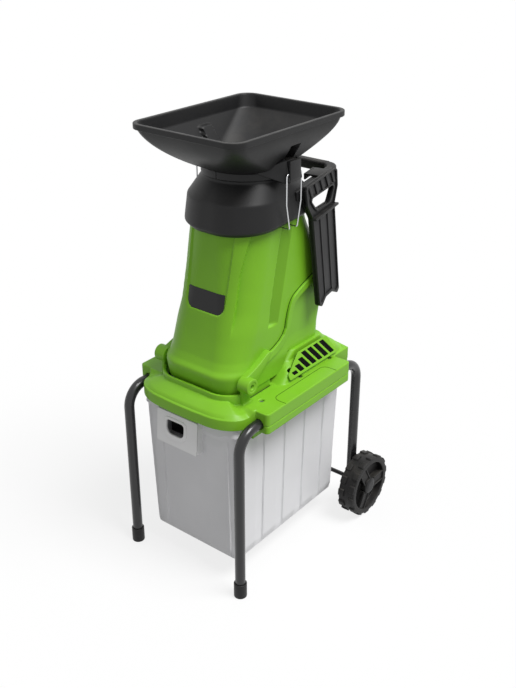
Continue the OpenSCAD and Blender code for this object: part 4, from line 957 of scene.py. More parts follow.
def build_badge(sizes):
    x, z = np.meshgrid(np.linspace(-48, 48, 121), np.linspace(591.6, 637.6, 61))
    up = z - BADGE_Z
    lower, upper = (rounded_box(x, up, BADGE_HALF_X, BADGE_HALF_Z, r) for r in (18, 3))
    rim = np.where(up < 0, lower, upper)
    y = tower_front(x, z, 1.15 - sizes.panel_depth / MM) + 0.7 * (1 - ramp(-rim - 0.6, 2.0))
    skin = walled(sheet(np.stack([x, y, z], 2), rim, wrap_cols=False), 1.1)
    piece("badge_plate", [skin], badge_skin(), "hood", ["badge"])


# Collar, hopper and latches

RIM_Z = 960
LATCH_X, LATCH_Y, LATCH_Z = 113, 16, 853


def round_row(z, r):
    """A section row that is a circle about the neck's centre."""
    return [z, r, r - NECK_Y, r + NECK_Y, r - 0.5, r - 0.5]


def build_collar():
    path = [[758, 94.7, 103.7, 118.7, 82.6, 56.6], [751.4, 95.4, 104.2, 120, 83, 57],
            [751, 99, 105, 124, 86, 60], [760, 106, 113, 130, 92, 66],
            [810, 101.3, 107.4, 124.4, 90.2, 64.2], [813, 100.9, 107, 124, 90, 64],
            round_row(849, 86), round_row(853, 86), round_row(853.1, 80)]
    grid = outlines(along(path, 2.2, 1.7), (8, 40, 22, 34, 10))
    grid[..., 2] += 0.07 * (grid[..., 1] + 105) * ramp(790 - grid[..., 2], 30)
    piece("collar_shell", [walled(sheet(grid), 2)], black(), "hood", ["collar"])


def build_neck_ring():
    profile = rounded_profile([(83, 853.3), (NECK_RADIUS, 853.3), (NECK_RADIUS, 868), (83, 868)],
                              [0.3, 1.4, 1.4, 0.3])
    gap = math.asin(0.75 / NECK_RADIUS)
    turns = np.linspace(gap, 2 * math.pi - gap, 129) - math.pi / 2
    rings = [[(r * math.cos(t), NECK_Y + r * math.sin(t), h) for r, h in profile] for t in turns]
    piece("neck_band", [bar(np.array(rings))], black(), "hood", ["neck_ring"])


def hopper_path():
    """Section rows of the hopper: up its outside, over the rim and down its inside."""
    foot = round_row(868.2, NECK_RADIUS)
    wall = np.array([foot, [880, 92, 106, 111, 76, 76], [895.7, 104.5, 130, 134, 62, 62],
                     [914, 115, 151, 151, 46, 46], [932, 122.5, 166, 163, 34, 34],
                     [948.6, 126.5, 172.5, 168.5, 26, 26]])
    heights = np.linspace(880, 948.6, 16)
    middle, power = 908, 3
    curve = np.polyfit(wall[:, 0] - middle, wall[:, 1:], power)
    flank = sum(curve[k] * (heights[:, None] - middle) ** (power - k) for k in range(power + 1))
    return [foot] + np.column_stack([heights, flank]).tolist() + [
        [949.2, 133, 179, 175, 32, 32], [RIM_Z, 133, 179, 175, 32, 32], [RIM_Z, 124.6, 170.6, 166.6, 24, 24],
        [934, 120.2, 164, 161, 31, 31], round_row(873, 80), round_row(868.2, 78.6)]


def latch_bracket():
    """The bracket under the right latch: a block, two webs and a gusset to the front."""
    front, rear, web_wall = -4.8, 36.8, 3.5
    web = rounded_profile([(103, 847), (113, 847), (119, 853), (116, 860), (110, 889), (103, 893)],
                          [0, 5, 5, 2, 1, 0])
    gusset = [(76, -44, 868), (76, -44, 874), (110, front, 848), (110, front, 892)]
    gusset += [(x - 9, y, z) for x, y, z in gusset]
    faces = [(0, 2, 3, 1), (4, 5, 7, 6), (0, 1, 5, 4), (1, 3, 7, 5), (3, 2, 6, 7), (2, 0, 4, 6)]
    return [brick((90, front, 847), (106, rear, 889), 1.2),
            *(prism(web, "y", a, a + web_wall, 0.8) for a in (front, rear - web_wall)),
            tidy_normals(mesh_of(gusset, faces))]


def build_hopper():
    rows = along(hopper_path(), 2.0, 1.1, closed=True)
    rows[:, 0] = np.minimum(rows[:, 0], RIM_Z)
    grid = outlines(rows, (22, 22, 56, 22, 22))
    outer = (np.arange(len(rows)) < np.argmax(rows[:, 0]))[:, None]
    x, y, z = (grid[..., k] for k in range(3))
    slot = rounded_box(y - LATCH_Y, z - 904, 13, 15, 2)
    inwards = np.where(outer, 12 * ramp(-slot, 1.2), 9 * ramp(3.5 - slot, 3)) * (np.abs(x) > 60)
    grid = np.stack([x - np.sign(x) * inwards, y, z], 2)
    shell = tidy_normals(sheet(grid, wrap_rows=True))
    spigot = turned([(82.7, 853.6), (82.7, 869), (78.4, 869), (78.4, 853.6)], moved(0, NECK_Y), 96)
    # Painted shade: a near-black plate on the floor of each latch pocket, standing in for the shade in the
    # pocket.
    floor = prism([(89.6, 890.5), (106, 918), (105, 918.4), (88.6, 891)], "y", 3.6, 28.4)
    piece("latch_slots", pair(floor), filter_foam(), "hood", [])
    piece("hopper_shell", [shell, spigot, *pair(*latch_bracket())], black(), "hood", ["hopper"])


def build_latches():
    lever = rounded_profile([(-3.5, 2), (-3.5, 37), (4.6, 37), (5.4, 2), (4.4, -5), (-2, -5)],
                            [1, 1.2, 1.2, 3, 2, 2])
    lever = [(LATCH_X + p, LATCH_Z + q) for p, q in lever]
    lever = prism(lever, "y", LATCH_Y - 17, LATCH_Y + 17, 0.9)
    x, top, rear, hook, low = LATCH_X + 1, LATCH_Z + 12, LATCH_Y + 23, LATCH_Y + 12, 754
    half = [(x, LATCH_Y, top), (x, rear, top), (x, rear, 806), (x, hook, low), (92, hook, low)]
    half = bent_path(half, 4, 6)
    path = [(p[0], 2 * LATCH_Y - p[1], p[2]) for p in half[::-1]][:-1] + half
    wire = tube(finer(path, 12), 1.5, 16)
    for sign, side in SIDES:
        piece(side + "_lever", sided(sign, lever), black(), side + "_lever", [side + "_latch_lever"])
        piece(side + "_wire", sided(sign, wire), steel(), side + "_wire", [side + "_latch_wire"])


# Handle and plunger

# The handle's plane is pitched about the feet of its arms
HANDLE = moved(0, 44, 799, [("X", 4.5)]) @ Matrix.Translation((0, -44, 0))
ARM_YAW = math.degrees(math.atan(20 / 144))


def build_handle():
    points = [(104, 40), (84.2, 222), (-84.2, 222), (-104, 40), (-86, 40), (-66, 204), (66, 204), (86, 40)]
    loop = rounded_profile(points, [0, 34, 34, 0, 0, 18, 18, 0], 12)
    middle = HANDLE @ moved(0, 0, 10)
    piece("handle_bar", [plate([loop], 20, 4.0, middle, 4)], black(), "hood", ["transport_handle"])
    grip = plate([rectangle(-58, 203.2, 58, 222.8, 3, 4)], 20.8, 4.4, middle, 4)
    piece("handle_grip", [grip], wheel_plastic(), "hood")


def build_plunger():
    wide, neck, foot, low, tip = 68, 48, 45, -70, -264
    hang = HANDLE @ moved(94.94, 120, 24.3, [("Z", ARM_YAW)])
    body = hang @ Matrix.Rotation(math.radians(-3), 4, "Y")
    outer = [(-wide, -6), (6 - wide, 0), (wide - 6, 0), (wide, -6), (wide - 2, low * 0.55), (neck, low),
             (foot, tip), (foot * 0.8, tip - 8), (foot * 0.35, tip + 6), (-foot * 0.35, tip + 6),
             (-foot * 0.8, tip - 8), (-foot, tip), (-neck, low), (2 - wide, low * 0.55)]
    outer = rounded_profile(outer, [4, 6, 6, 4, 12, 10, 6, 6, 8, 8, 6, 6, 10, 12])
    inner = [(p * 0.93, (q + 132) * 0.965 - 130) for p, q in outer]
    hole = [(25 - wide, -29), (wide - 25, -31), (wide - 20, -37), (neck - 15, low + 15),
            (neck - 21, low + 9), (21 - neck, low + 12), (15 - neck, low + 18), (20 - wide, -34)]
    hole = rounded_profile(hole, 5, 4)
    lip = [(22 - wide, -25.5), (wide - 22, -27.5), (wide - 15, -36), (neck - 10, low + 14),
           (neck - 20, low + 5), (20 - neck, low + 8), (10 - neck, low + 17), (15 - wide, -33)]
    lip = rounded_profile(lip, 6, 4)
    flat = body @ moved(6.5) @ YZ
    meshes = [plate([outer, hole], 7, 1.0, flat), plate([lip, hole], 13, 1.2, flat),
              plate([outer, inner], 13, 1.2, flat),
              brick((0, -neck, low - 5), (20, neck + 4, low), 1.5, body)]
    for share in (-0.34, 0.34):
        a, b = share * neck, share * foot
        ridge = [(a - 2, low), (a + 2, low), (b + 2, tip + 8), (b - 2, tip + 8)]
        meshes.append(prism(ridge, "x", 6, 12, 0.9, body))
    rib = own_frame(prism([(0, -4), (12.4, -4), (12.4, 4), (0, 4)], "z", -27, -2, 0.7))
    rib.transform(Matrix(((1, 0, 0, 0), (0, 1, -0.35, 0), (0, 0, 1, 0), (0, 0, 0, 1))))
    meshes.append(copies(rib, 5, black(), body @ moved(0.3, -53), (0, 24, 0)))
    back = -30
    meshes += [brick((back, 8, -4), (1, 50, 0), 1.2, hang),
               brick((back - 4, 8, -13), (back, 50, 0), 1.2, hang)]
    piece("plunger_body", meshes, black(), "plunger", ["plunger"])


# Deck

DECK_TOP = 423.7
NOSE_POINTS = 110


def nose_skin():
    """The deck's crowned nose, from its skirt up to the ring round the hood's foot."""
    turn = np.radians(np.linspace(0, 90, 40))
    brim = [(148, -136), (142.8, -142.5), (139.6, -147.5), (138, -153)]
    brim += [(58 + 79.4 * math.cos(t), -155 - 49 * math.sin(t)) for t in turn[2:]]
    brim += [(x, -206 + 2 * (x / 58) ** 2) for x in np.linspace(48, 0, 7)]
    turn = np.radians(np.linspace(20, 90, 40))
    foot = [(52.5 + 58 * math.cos(t), -113 - 58 * math.sin(t)) for t in turn]
    foot += [(x, -171) for x in np.linspace(45, 0, 7)]
    outer, run = resampled(eased(brim), NOSE_POINTS)
    inner, _ = resampled(foot, NOSE_POINTS)
    edge, crown = DECK_TOP - 10.7 * ramp(run - 14, 14), DECK_TOP + 10 * ramp(run - 38, 26)
    top = DECK_TOP + 21.5 * ramp(run - 5, 3)
    # Rows by their share of the way in, millimetres further in, and height
    rows = [(0, 6, 388.6), (0, 1.2, 388.6), (0, 0, 390), (0, 0, edge - 3.5), (0, 0.5, edge - 1.4),
            (0, 2, edge), (0, 4.5, edge + 1)]
    for share in np.linspace(0.2, 0.94, 9):
        rows.append((share, 0, edge + 1 + (crown - edge - 1) * (1 - (1 - share) ** 1.35)))
    rows += [(1, -1.2, crown), (1, -0.2, crown + 1.2), (1, 0, top - 1.6), (1, 0.5, top - 0.5), (1, 1.6, top),
             (1, 5.2, top), (1, 6.4, top - 0.5), (1, 6.9, top - 1.6), (1, 6.9, 404), (0, 6, 404)]
    way = inner - outer
    gap = np.linalg.norm(way, axis=1)
    half = np.array([np.column_stack([outer + way * (share + more / gap)[:, None], height + 0 * run])
                     for share, more, height in rows])
    grid = np.concatenate([half, half[:, -2::-1] * [-1, 1, 1]], 1)
    n, m = grid.shape[:2]
    faces = grid_faces(n, m, wrap_rows=True, wrap_cols=False)
    faces += [[k * m for k in range(n)], [k * m + m - 1 for k in range(n)][::-1]]
    return tidy_normals(mesh_of(grid, faces))


def build_deck():
    for half, voxel, faces in (("upper", 1.5, 150000), ("lower", 1.6, 110000)):
        node = "base_" + half
        skin = softened(node, voxel, 3, faces)
        piece("deck_" + half, [skin], green(), "frame", [node], 50)
    piece("deck_nose", [nose_skin()], green(), "frame", [], 30)
    wall = brick((95.6, -112, 402), (98.2, -34, 447), 0.8)
    piece("well_walls", pair(wall), green(), "frame", [])
    slots, foot = [], 9.5
    for k in range(7):
        y, top = 22 * k - 2, min(44.5, 17.5 + 9 * k)
        back = 0.685 * (top - foot)
        slot = [(y + 10, foot), (y + 25, foot), (y + 25 - back, top), (y + 10 - back, top)]
        slots.append(rounded_profile(slot, 1.0, 3))
    lean = Matrix(((0, -0.4327, 0.9015, 133), (1, 0, 0, 0), (0, 0.9015, 0.4327, 426.5), (0, 0, 0, 1)))
    rim = rounded_profile([(-9, 4), (166, 4), (146, 49), (42, 49), (-9, 16)], [4, 4, 4, 12, 4])
    grille = plate([rim] + slots, 2.4, 0.6, lean)
    piece("vent_grilles", pair(grille), green(), "frame", [])
    # Painted shade: a near-black plate behind each grille, standing in for the shade behind its slots.
    vent_shade = plate([rim], 1.4, 0.1, lean @ Matrix.Translation((0, 0, -0.3)))
    piece("vent_filters", pair(vent_shade), filter_foam(), "frame")
    # Painted shade: a thin dark tube round the pad on each ear, standing in for the shadow in the groove
    # between pad and deck.
    line = [(x, y, DECK_TOP + 0.4) for x, y in ((174, -80), (141, -80), (141, 99), (174, 99))]
    shade_line = tube(finer(bent_path(line, 16, 10), 10), 0.55, 8)
    piece("ear_seams", pair(shade_line), seam_shade(), "frame", [])


# Collection box

BOX_PATH = [
    [54, 20, 30, 40, 14, 14], [54, 116, 169, 181, 11, 11], [57, 119, 172, 184, 14, 14],
    [358, 125.9, 178.9, 190.9, 14, 14], [358.3, 133, 181, 191, 18, 14], [362.3, 133, 181, 191, 18, 14],
    [362.6, 126, 179, 191, 14, 14], [375.6, 126, 179, 191, 14, 14], [375.6, 123.5, 176.5, 188.5, 11.5, 11.5],
    [60, 116.6, 169.6, 181.6, 11.5, 11.5], [56.5, 113, 166, 178, 9, 9], [56.5, 20, 30, 40, 14, 14]]
BOX_COUNTS = (70, 6, 190, 6, 30)
SIDE_PANELS = 5
FRONT_PANELS = ((-104, -78), (44, 104))


def box_skin(rib):
    """The box, with panels raised by rib, a rim that rises in front and room for the hand plate."""
    rows = along(BOX_PATH, 8.5, 0.9)
    grid = outlines(rows, BOX_COUNTS)
    x, y, z = (grid[..., k] for k in range(3))
    z += 10 * ramp(np.abs(x) - 92, 22) * ramp(-y - 150, 14) * ramp(z - 345, 25)
    outer = (np.arange(len(rows)) < np.argmax(rows[:, 0]))[:, None]
    upright = ramp(z - 68, 3) * ramp(344 - z, 3) * outer
    out = np.zeros(x.shape)
    for k in range(SIDE_PANELS):
        a, b = (-172 + 356 * (k + share) / SIDE_PANELS for share in (0.16, 0.84))
        out += rib * ramp(y - a, 1.8) * ramp(b - y, 1.8) * upright * ramp(np.abs(x) - 100, 4)
    for a, b in FRONT_PANELS:
        out += rib * ramp(-y - 150, 6) * upright * ramp(x - a, 1.6) * ramp(b - x, 1.6)
    grid = grid + grid_normals(grid) * out[..., None]
    size = grid.shape[:2]
    hollow = np.where((y < -150) & (rounded_box(x + 21, z - 340, 53.5, 37.5, 1) < 0), 1.0, -1.0)
    faces = grid_faces(*size) + end_faces(*size)
    return tidy_normals(mesh_of(*clipped(grid.reshape(-1, 3), faces, hollow.ravel())))


def build_box(sizes):
    # Limits of the recess for the hand
    left, right, low, top, rear = -77, 35, 300.3, 376, -152
    plan = rectangle(left, low, right, top, 5)
    grip = rounded_profile([(-49, 326), (-1, 326), (-1, 359), (-49, 359)], [20, 20, 8, 8], 6)
    wide = rounded_profile([(-57, 317), (7, 317), (7, 366), (-57, 366)], [28, 28, 14, 14], 6)
    tilt = moved(0, -191, top, [("X", -5)]) @ Matrix.Translation((0, 191, -top))
    front = [plate([plan, grip], 2.6, 0.5, tilt @ moved(0, -190.7) @ XZ),
             plate([plan, rectangle(-74.5, 302.8, 32.5, 365.8, 4)], 26, 0.6, tilt @ moved(0, -178.5) @ XZ),
             plate([wide, grip], 3.6, 1.4, tilt @ moved(0, -192.2) @ XZ, 4)]
    # The hand plate is coloured with painted light, a whiter grey than the box.
    piece("grip_plate", front, pale(), "box", [])
    walls = (((left, -190, top - 2.6), (right, rear, top)), ((left, -154.6, low), (right, rear, top)),
             ((left, -178, low), (right, rear, low + 2.5)), ((left, -178, low), (left + 2.5, rear, top)),
             ((right - 2.5, -178, low), (right, rear, top)))
    # Painted shade: a black sheet at the back of the hand recess, standing in for the shade inside it.
    shade_sheet = brick((-73, -157, 304), (31, -155, 372), 0.4)
    piece("grip_liner", [shade_sheet], black(), "box", [])
    meshes = [box_skin(sizes.box_rib / MM)] + [brick(p, q, 0.4) for p, q in walls]
    piece("box_shell", meshes, grey(), "box", ["collection_box"])


# Legs and wheels

LEG_X, LEG_FRONT, LEG_REAR, LEG_TOP = 152, -202, 215, 396
LEG_RADIUS, LEG_BEND = 11, 45
WHEEL_X, WHEEL_Z, CAP_X = 165.2, 75, 207.2
SPOKES = 3


def build_legs():
    for sign, side in SIDES:
        corners = ((LEG_FRONT, 20), (LEG_FRONT, LEG_TOP), (LEG_REAR, LEG_TOP), (LEG_REAR, 49))
        path = bent_path([(LEG_X * sign, y, z) for y, z in corners], LEG_BEND, 18)
        piece(side + "_leg", [tube(finer(path, 12), LEG_RADIUS, 36)], tube_paint(), "frame",
              [side + "_leg_frame"])
    foot = rounded_profile([(0, 0), (14, 0), (14, 35), (11.05, 35), (11.05, 6), (0, 6)],
                           [0, 2.2, 1.6, 0.4, 0, 0])
    feet = [turned(foot, moved(LEG_X * sign, LEG_FRONT), 48) for sign, _ in SIDES]
    piece("front_feet_caps", feet, black(), "frame", ["front_feet"])


def wheel_meshes(lugs):
    """The right wheel: rim, hub and web in one, spokes with two ribs each, and two rings of lugs."""
    profile = rounded_profile(
        [(5.05, 0), (20, 0), (20, 12), (59, 12), (59, 1), (61, 0), (71.5, 0), (71.5, 42), (61, 42), (59, 41),
         (59, 26), (20, 26), (20, 42), (16, 42), (16, 34), (5.05, 34)],
        [0.3, 1, 2, 2, 1, 1, 2.5, 2.5, 1, 1, 2.5, 2.5, 1.5, 0.8, 0.5, 0.3], 4)
    place = moved(WHEEL_X, LEG_REAR, WHEEL_Z, [("Y", 90)])
    meshes = [turned(profile, place, 96)]
    for k in range(SPOKES):
        spoke = place @ Matrix.Rotation(math.radians(360 / SPOKES * k + 90), 4, "Z")
        meshes.append(brick((17, -13, 1.5), (60.5, 13, 38.5), 1.5, spoke))
        meshes += [brick((18, y - 1.5, 30), (60, y + 1.5, 41), 0.8, spoke) for y in (-11.5, 11.5)]
    pitch = 2 * math.pi / lugs
    foot, tip = 0.315 * pitch * 71, 0.235 * pitch * 75
    lug = own_frame(prism([(70, -foot), (74.6, -tip), (74.6, tip), (70, foot)], "z", 0.4, 15, 1.1))
    for start, height in ((0.315, 0), (0.815, 26.6)):
        ring = place @ moved(0, 0, height) @ Matrix.Rotation(start * pitch, 4, "Z")
        meshes.append(copies(lug.copy(), lugs, wheel_plastic(), ring, turn=pitch))
    return meshes


def build_wheels(sizes):
    wheel = wheel_meshes(sizes.lugs)
    dome = rounded_profile([(0, 2.75), (11, 2.7), (18, 0.9), (18, 0.3), (15.9, 0.3), (15.9, -6), (0, -6)],
                           [0, 6, 0.5, 0.2, 0, 0, 0])
    cap = turned(dome, moved(CAP_X, LEG_REAR, WHEEL_Z, [("Y", 90)]), 48)
    for sign, side in SIDES:
        body = side + "_wheel"
        piece(side + "_tyre", sided(sign, *wheel), wheel_plastic(), body, [side + "_wheel"])
        piece(side + "_cap", sided(sign, cap), black(), body, [side + "_hub_cap"])


# Switch, lock and drive

SWITCH_FACE = 206
INLET_Z = 437
REARWARDS = [("X", -90)]


def build_switch():
    loops = [rectangle(-98, 424.4, -26, 470, 4), rectangle(-86.3, 451.7, -65.7, 466.3, 1.5),
             rectangle(-58.3, 451.7, -37.7, 466.3, 1.5), circle(-78, INLET_Z, 10.3), circle(-44, 438, 5.3)]
    case = [plate(loops, 12, 0.8, moved(0, SWITCH_FACE - 6) @ XZ),
            brick((-98, 178, 424.4), (-26, 195, 470), 1.5)]
    piece("switch_case", case, black(), "frame", ["switch_box"])
    for x, name, skin, slot in ((-76, "on", on_green(), "on_green"), (-48, "off", off_red(), "off_red")):
        key = brick((x - 10, SWITCH_FACE - 5.5, 452), (x + 10, SWITCH_FACE + 5, 466), 1.6)
        piece(name + "_key", [key], skin, name + "_button", [name + "_button"])
    cap = rounded_profile([(0, 4), (5, 4), (5, -12), (0, -12)], [0, 1.2, 0, 0])
    cap = turned(cap, moved(-44, SWITCH_FACE, 438, REARWARDS), 32)
    piece("reset_key", [cap], black(), "reset_button", ["reset_button"])
    socket = rounded_profile([(7.5, -11), (7.5, 2), (10, 2), (10, -13.7), (0, -13.7), (0, -11)],
                             [0, 0.6, 1, 0, 0, 0])
    socket = turned(socket, moved(-78, SWITCH_FACE, INLET_Z, REARWARDS), 40)
    piece("inlet_socket", [socket], black(), "frame", ["power_inlet"])
    pin = rounded_profile([(0, -11), (1.6, -11), (1.6, -2), (0, -1.4)], [0, 0, 0.6, 0])
    pin = own_frame(turned(pin, moved(turns=REARWARDS), 20))
    pins = copies(pin, 3, steel(), moved(-82, SWITCH_FACE, INLET_Z), (4, 0, 0))
    piece("inlet_pins", [pins], steel(), "frame")


def build_lock():
    knob = softened("lock_knob", 0.9, 4, 16000)
    piece("lock_grip", [knob], black(), "lock", ["lock_knob"], 60)
    dress(steel(), "lock_screw")


def build_drive():
    dress(steel(), "axle_washers", "axle_clips", "hinge_pins", "spindle", "disc_nut", "knife_bolts",
          "motor_bearings", "spindle_bearings", "latch_pins", "base_screws")
    dress(knife_steel(), "knives", "counter_knife")
    dress(dark_steel(), "knife_disc", "chamber_plate", "motor_can", "armature")
    dress(cast_alloy(), "bearing_housing", "driven_pulley", "motor_pulley")
    dress(rubber(), "drive_belt")
    dress(copper(), "stator")
    dress(black(), "feed_chute", "feed_pipe")
    dress(tube_paint(), "axle")
    dress(wheel_plastic(), "leg_end_plugs", "motor_fan", "brush_holders")


# Floor, light and camera

FLOOR_HALF = 20
KEY_FROM, KEY_SPREAD = (0.445, 0.09, 0.891), math.radians(30)
VIEW_TARGET, VIEW_DISTANCE = Vector((0.02385, -0.01802, 0.4713)), 1.99924
VIEW_AZIMUTH, VIEW_ELEVATION = math.radians(38.49), math.radians(26.83)
VIEW_SENSOR, VIEW_LENS = 36, 48.82


def cleared(tree):
    """A node tree with nothing left in it, behind the short calls."""
    tree.nodes.clear()
    return Tree(tree)


def in_sight(t):
    """1 for rays that show a thing to the camera: straight, in a reflection or through glass."""
    path = t.node("ShaderNodeLightPath")
    bent = t.maths("MAXIMUM", path.outputs["Is Glossy Ray"], path.outputs["Is Transmission Ray"])
    return t.maths("MAXIMUM", path.outputs["Is Camera Ray"], bent)


def white_world(fill):
    """A world that looks white and lights the object from all round with strength fill."""
    world = bpy.data.worlds.new("studio")
    world.use_nodes = True
    t = cleared(world.node_tree)
    level = t.node("ShaderNodeMix", data_type="FLOAT")
    level.inputs["A"].default_value = fill
    level.inputs["B"].default_value = 1.0
    t.wire(in_sight(t), level.inputs["Factor"])
    sky, out = t.node("ShaderNodeBackground"), t.node("ShaderNodeOutputWorld")
    sky.inputs["Color"].default_value = (1, 1, 1, 1)
    t.wire(level.outputs["Result"], sky.inputs["Strength"])
    t.wire(sky.outputs[0], out.inputs[0])
    return world


def floor_white():
    """A floor that looks white, keeps the object's shadow and throws little light back at it."""
    material = bpy.data.materials.new("floor_white")
    material.use_nodes = True
    t = cleared(material.node_tree)
    bounce, shade = t.node("ShaderNodeBsdfDiffuse"), t.node("ShaderNodeBsdfDiffuse")
    glow, both = t.node("ShaderNodeEmission"), t.node("ShaderNodeAddShader")
    mix, out = t.node("ShaderNodeMixShader"), t.node("ShaderNodeOutputMaterial")
    bounce.inputs["Color"].default_value = (0.3, 0.3, 0.3, 1)
    shade.inputs["Color"].default_value = (0.16, 0.16, 0.16, 1)
    glow.inputs["Strength"].default_value = 0.8
    t.wire(shade.outputs[0], both.inputs[0])
    t.wire(glow.outputs[0], both.inputs[1])
    t.wire(in_sight(t), mix.inputs[0])
    t.wire(bounce.outputs[0], mix.inputs[1])
    t.wire(both.outputs[0], mix.inputs[2])
    t.wire(mix.outputs[0], out.inputs["Surface"])
    return material


def build_stage(sizes):
    scene = bpy.context.scene
    scene.world = white_world(sizes.fill)
    floor = bpy.data.meshes.new("floor")
    h = FLOOR_HALF
    floor.from_pydata([(-h, -h, 0), (h, -h, 0), (h, h, 0), (-h, h, 0)], [], [(0, 1, 2, 3)])
    floor.materials.append(floor_white())
    floor_obj = made_object("floor", floor)
    sun = bpy.data.lights.new("key", "SUN")
    sun.energy, sun.angle = sizes.key, KEY_SPREAD
    key = made_object("key", sun)
    key.rotation_euler = Vector(KEY_FROM).to_track_quat("Z", "Y").to_euler()
    view = bpy.data.cameras.new("view")
    view.sensor_width, view.lens = VIEW_SENSOR, VIEW_LENS
    camera = made_object("view", view)
    az, el = VIEW_AZIMUTH, VIEW_ELEVATION
    way = Vector((math.sin(az) * math.cos(el), -math.cos(az) * math.cos(el), math.sin(el)))
    camera.location = VIEW_TARGET + VIEW_DISTANCE * way
    camera.rotation_euler = (camera.location - VIEW_TARGET).to_track_quat("Z", "Y").to_euler()
    scene.camera = camera
    scene.view_settings.view_transform = "Standard"


# Settings, operators and panel

def length_property(label, text, value, most):
    """A length from 0 to most, both given in millimetres."""
    return bpy.props.FloatProperty(name=label, description=text, unit="LENGTH", precision=4, min=0.0,
                                   max=most * MM, default=value * MM)


def light_property(label, text, value, most):
    return bpy.props.FloatProperty(name=label, description=text, min=0.0, max=most, default=value)


def colour_property(label, text, value):
    return bpy.props.FloatVectorProperty(name=label, description=text, subtype="COLOR", size=3, min=0.0,
                                         max=1.0, default=value)


class ShredderSizes(bpy.types.PropertyGroup):
    """Sizes of the relief and strengths of the light."""
    panel_depth: length_property("Panel depth", "Depth of the hood's recessed front panel", 3.6, 5)
    valley_depth: length_property("Valley depth", "Depth of the hood beside its front band", 6.4, 8)
    groove_depth: length_property("Groove depth", "Depth of the slanted grooves in the hood's sides", 11, 12)
    edge_rise: length_property("Edge rise", "Height of the hood's raised edge along the motor cover", 4.8, 6)
    box_rib: length_property("Box panels", "Height of the raised panels on the collection box", 3.4, 4)
    lugs: bpy.props.IntProperty(
        name="Tyre lugs", description="Number of lugs in each ring of a tyre", default=14, min=10, max=26)
    fill: light_property("Fill light", "Strength of the light from all round", 0.35, 2)
    key: light_property("Key light", "Strength of the soft light from above", 3.2, 10)


class ShredderColours(bpy.types.PropertyGroup):
    """Colours of the mouldings and tubes."""
    green: colour_property("Green", "Colour of the hood and the deck", srgb(126, 188, 40))
    black: colour_property("Black", "Colour of the black mouldings", srgb(25, 25, 26))
    tube: colour_property("Tube", "Colour of the painted tubes", srgb(24, 24, 26))
    wheel: colour_property("Wheel", "Colour of the wheels", srgb(24, 23, 23))
    box: colour_property("Box", "Colour of the collection box", srgb(238, 238, 240))


class SHREDDER_OT_stage(bpy.types.Operator):
    """Floor, light and camera."""
    bl_idname = "shredder.stage"
    bl_label = "Stage"

    def execute(self, context):
        build_stage(context.scene.shredder_sizes)
        return {"FINISHED"}


class SHREDDER_OT_hood(bpy.types.Operator):
    """Hood with its recessed panels, side strips, raised edge and hinge bosses."""
    bl_idname = "shredder.hood"
    bl_label = "Hood"

    def execute(self, context):
        build_hood(context.scene.shredder_sizes)
        return {"FINISHED"}


class SHREDDER_OT_motor_cover(bpy.types.Operator):
    """Cover let into the hood's lower rear, with the tab for the lock."""
    bl_idname = "shredder.motor_cover"
    bl_label = "Motor cover"

    def execute(self, context):
        build_motor_cover()
        return {"FINISHED"}


class SHREDDER_OT_badge(bpy.types.Operator):
    """Blank badge in the hood's front panel."""
    bl_idname = "shredder.badge"
    bl_label = "Badge"

    def execute(self, context):
        build_badge(context.scene.shredder_sizes)
        return {"FINISHED"}


class SHREDDER_OT_collar(bpy.types.Operator):
    """Collar round the hood's neck and the ring above it."""
    bl_idname = "shredder.collar"
    bl_label = "Collar"

    def execute(self, context):
        build_collar()
        build_neck_ring()
        return {"FINISHED"}


class SHREDDER_OT_hopper(bpy.types.Operator):
    """Feed hopper with its rim, latch pockets and brackets."""
    bl_idname = "shredder.hopper"
    bl_label = "Hopper"

    def execute(self, context):
        build_hopper()
        return {"FINISHED"}


class SHREDDER_OT_latches(bpy.types.Operator):
    """Latch levers and their wires."""
    bl_idname = "shredder.latches"
    bl_label = "Latches"

    def execute(self, context):
        build_latches()
        return {"FINISHED"}


class SHREDDER_OT_handle(bpy.types.Operator):
    """Transport handle with its grip."""
    bl_idname = "shredder.handle"
    bl_label = "Handle"

    def execute(self, context):
        build_handle()
        return {"FINISHED"}


class SHREDDER_OT_plunger(bpy.types.Operator):
    """Ribbed plunger with its hook."""
    bl_idname = "shredder.plunger"
    bl_label = "Plunger"

    def execute(self, context):
        build_plunger()
        return {"FINISHED"}


class SHREDDER_OT_deck(bpy.types.Operator):
    """Both shells of the deck, its nose, and the vent grilles with near-black plates behind them as painted
    shade.
    """
    bl_idname = "shredder.deck"
    bl_label = "Deck"

    def execute(self, context):
        build_deck()
        return {"FINISHED"}


class SHREDDER_OT_box(bpy.types.Operator):
    """Collection box with its panels, rim and hand plate."""
    bl_idname = "shredder.box"
    bl_label = "Box"

    def execute(self, context):
        build_box(context.scene.shredder_sizes)
        return {"FINISHED"}


class SHREDDER_OT_legs(bpy.types.Operator):
    """Leg tubes and front feet."""
    bl_idname = "shredder.legs"
    bl_label = "Legs"

    def execute(self, context):
        build_legs()
        return {"FINISHED"}


class SHREDDER_OT_wheels(bpy.types.Operator):
    """Wheels with their lugs, spokes and hub caps."""
    bl_idname = "shredder.wheels"
    bl_label = "Wheels"

    def execute(self, context):
        build_wheels(context.scene.shredder_sizes)
        return {"FINISHED"}


class SHREDDER_OT_switch(bpy.types.Operator):
    """Switch box with its buttons and the power inlet."""
    bl_idname = "shredder.switch"
    bl_label = "Switch"

    def execute(self, context):
        build_switch()
        return {"FINISHED"}


class SHREDDER_OT_lock(bpy.types.Operator):
    """Knob that locks the hood to the deck."""
    bl_idname = "shredder.lock"
    bl_label = "Lock"

    def execute(self, context):
        build_lock()
        return {"FINISHED"}


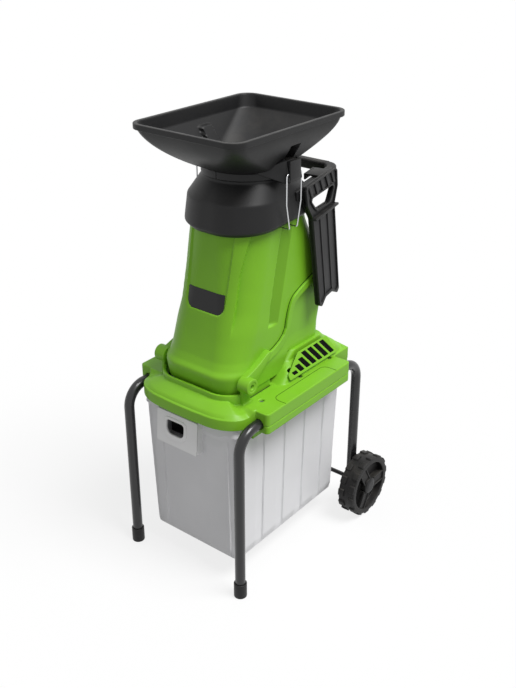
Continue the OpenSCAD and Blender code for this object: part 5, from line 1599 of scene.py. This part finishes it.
class SHREDDER_OT_drive(bpy.types.Operator):
    """Finishes of the knives, the drive and the small metal parts."""
    bl_idname = "shredder.drive"
    bl_label = "Drive"

    def execute(self, context):
        build_drive()
        return {"FINISHED"}


STEPS = (SHREDDER_OT_stage, SHREDDER_OT_hood, SHREDDER_OT_motor_cover, SHREDDER_OT_badge, SHREDDER_OT_collar,
         SHREDDER_OT_hopper, SHREDDER_OT_latches, SHREDDER_OT_handle, SHREDDER_OT_plunger, SHREDDER_OT_deck,
         SHREDDER_OT_box, SHREDDER_OT_legs, SHREDDER_OT_wheels, SHREDDER_OT_switch, SHREDDER_OT_lock,
         SHREDDER_OT_drive)


class SHREDDER_PT_panel(bpy.types.Panel):
    """Sizes, colours and building steps of the shredder."""
    bl_label = "Shredder"
    bl_idname = "SHREDDER_PT_panel"
    bl_space_type = "VIEW_3D"
    bl_region_type = "UI"
    bl_category = "Shredder"

    def draw(self, context):
        column = self.layout.column(align=True)
        for group in (context.scene.shredder_sizes, context.scene.shredder_colours):
            for name in group.__annotations__:
                column.prop(group, name)
        column.separator()
        for step in STEPS:
            column.operator(step.bl_idname)


CLASSES = (ShredderSizes, ShredderColours, *STEPS, SHREDDER_PT_panel)


def register():
    for each in CLASSES:
        bpy.utils.register_class(each)
    bpy.types.Scene.shredder_sizes = bpy.props.PointerProperty(type=ShredderSizes)
    bpy.types.Scene.shredder_colours = bpy.props.PointerProperty(type=ShredderColours)


def unregister():
    del bpy.types.Scene.shredder_sizes
    del bpy.types.Scene.shredder_colours
    for each in reversed(CLASSES):
        bpy.utils.unregister_class(each)


def main():
    register()
    bpy.ops.shredder.stage()
    bpy.ops.shredder.hood()
    bpy.ops.shredder.motor_cover()
    bpy.ops.shredder.badge()
    bpy.ops.shredder.collar()
    bpy.ops.shredder.hopper()
    bpy.ops.shredder.latches()
    bpy.ops.shredder.handle()
    bpy.ops.shredder.plunger()
    bpy.ops.shredder.deck()
    bpy.ops.shredder.box()
    bpy.ops.shredder.legs()
    bpy.ops.shredder.wheels()
    bpy.ops.shredder.switch()
    bpy.ops.shredder.lock()
    bpy.ops.shredder.drive()


if __name__ == "__main__":
    main()
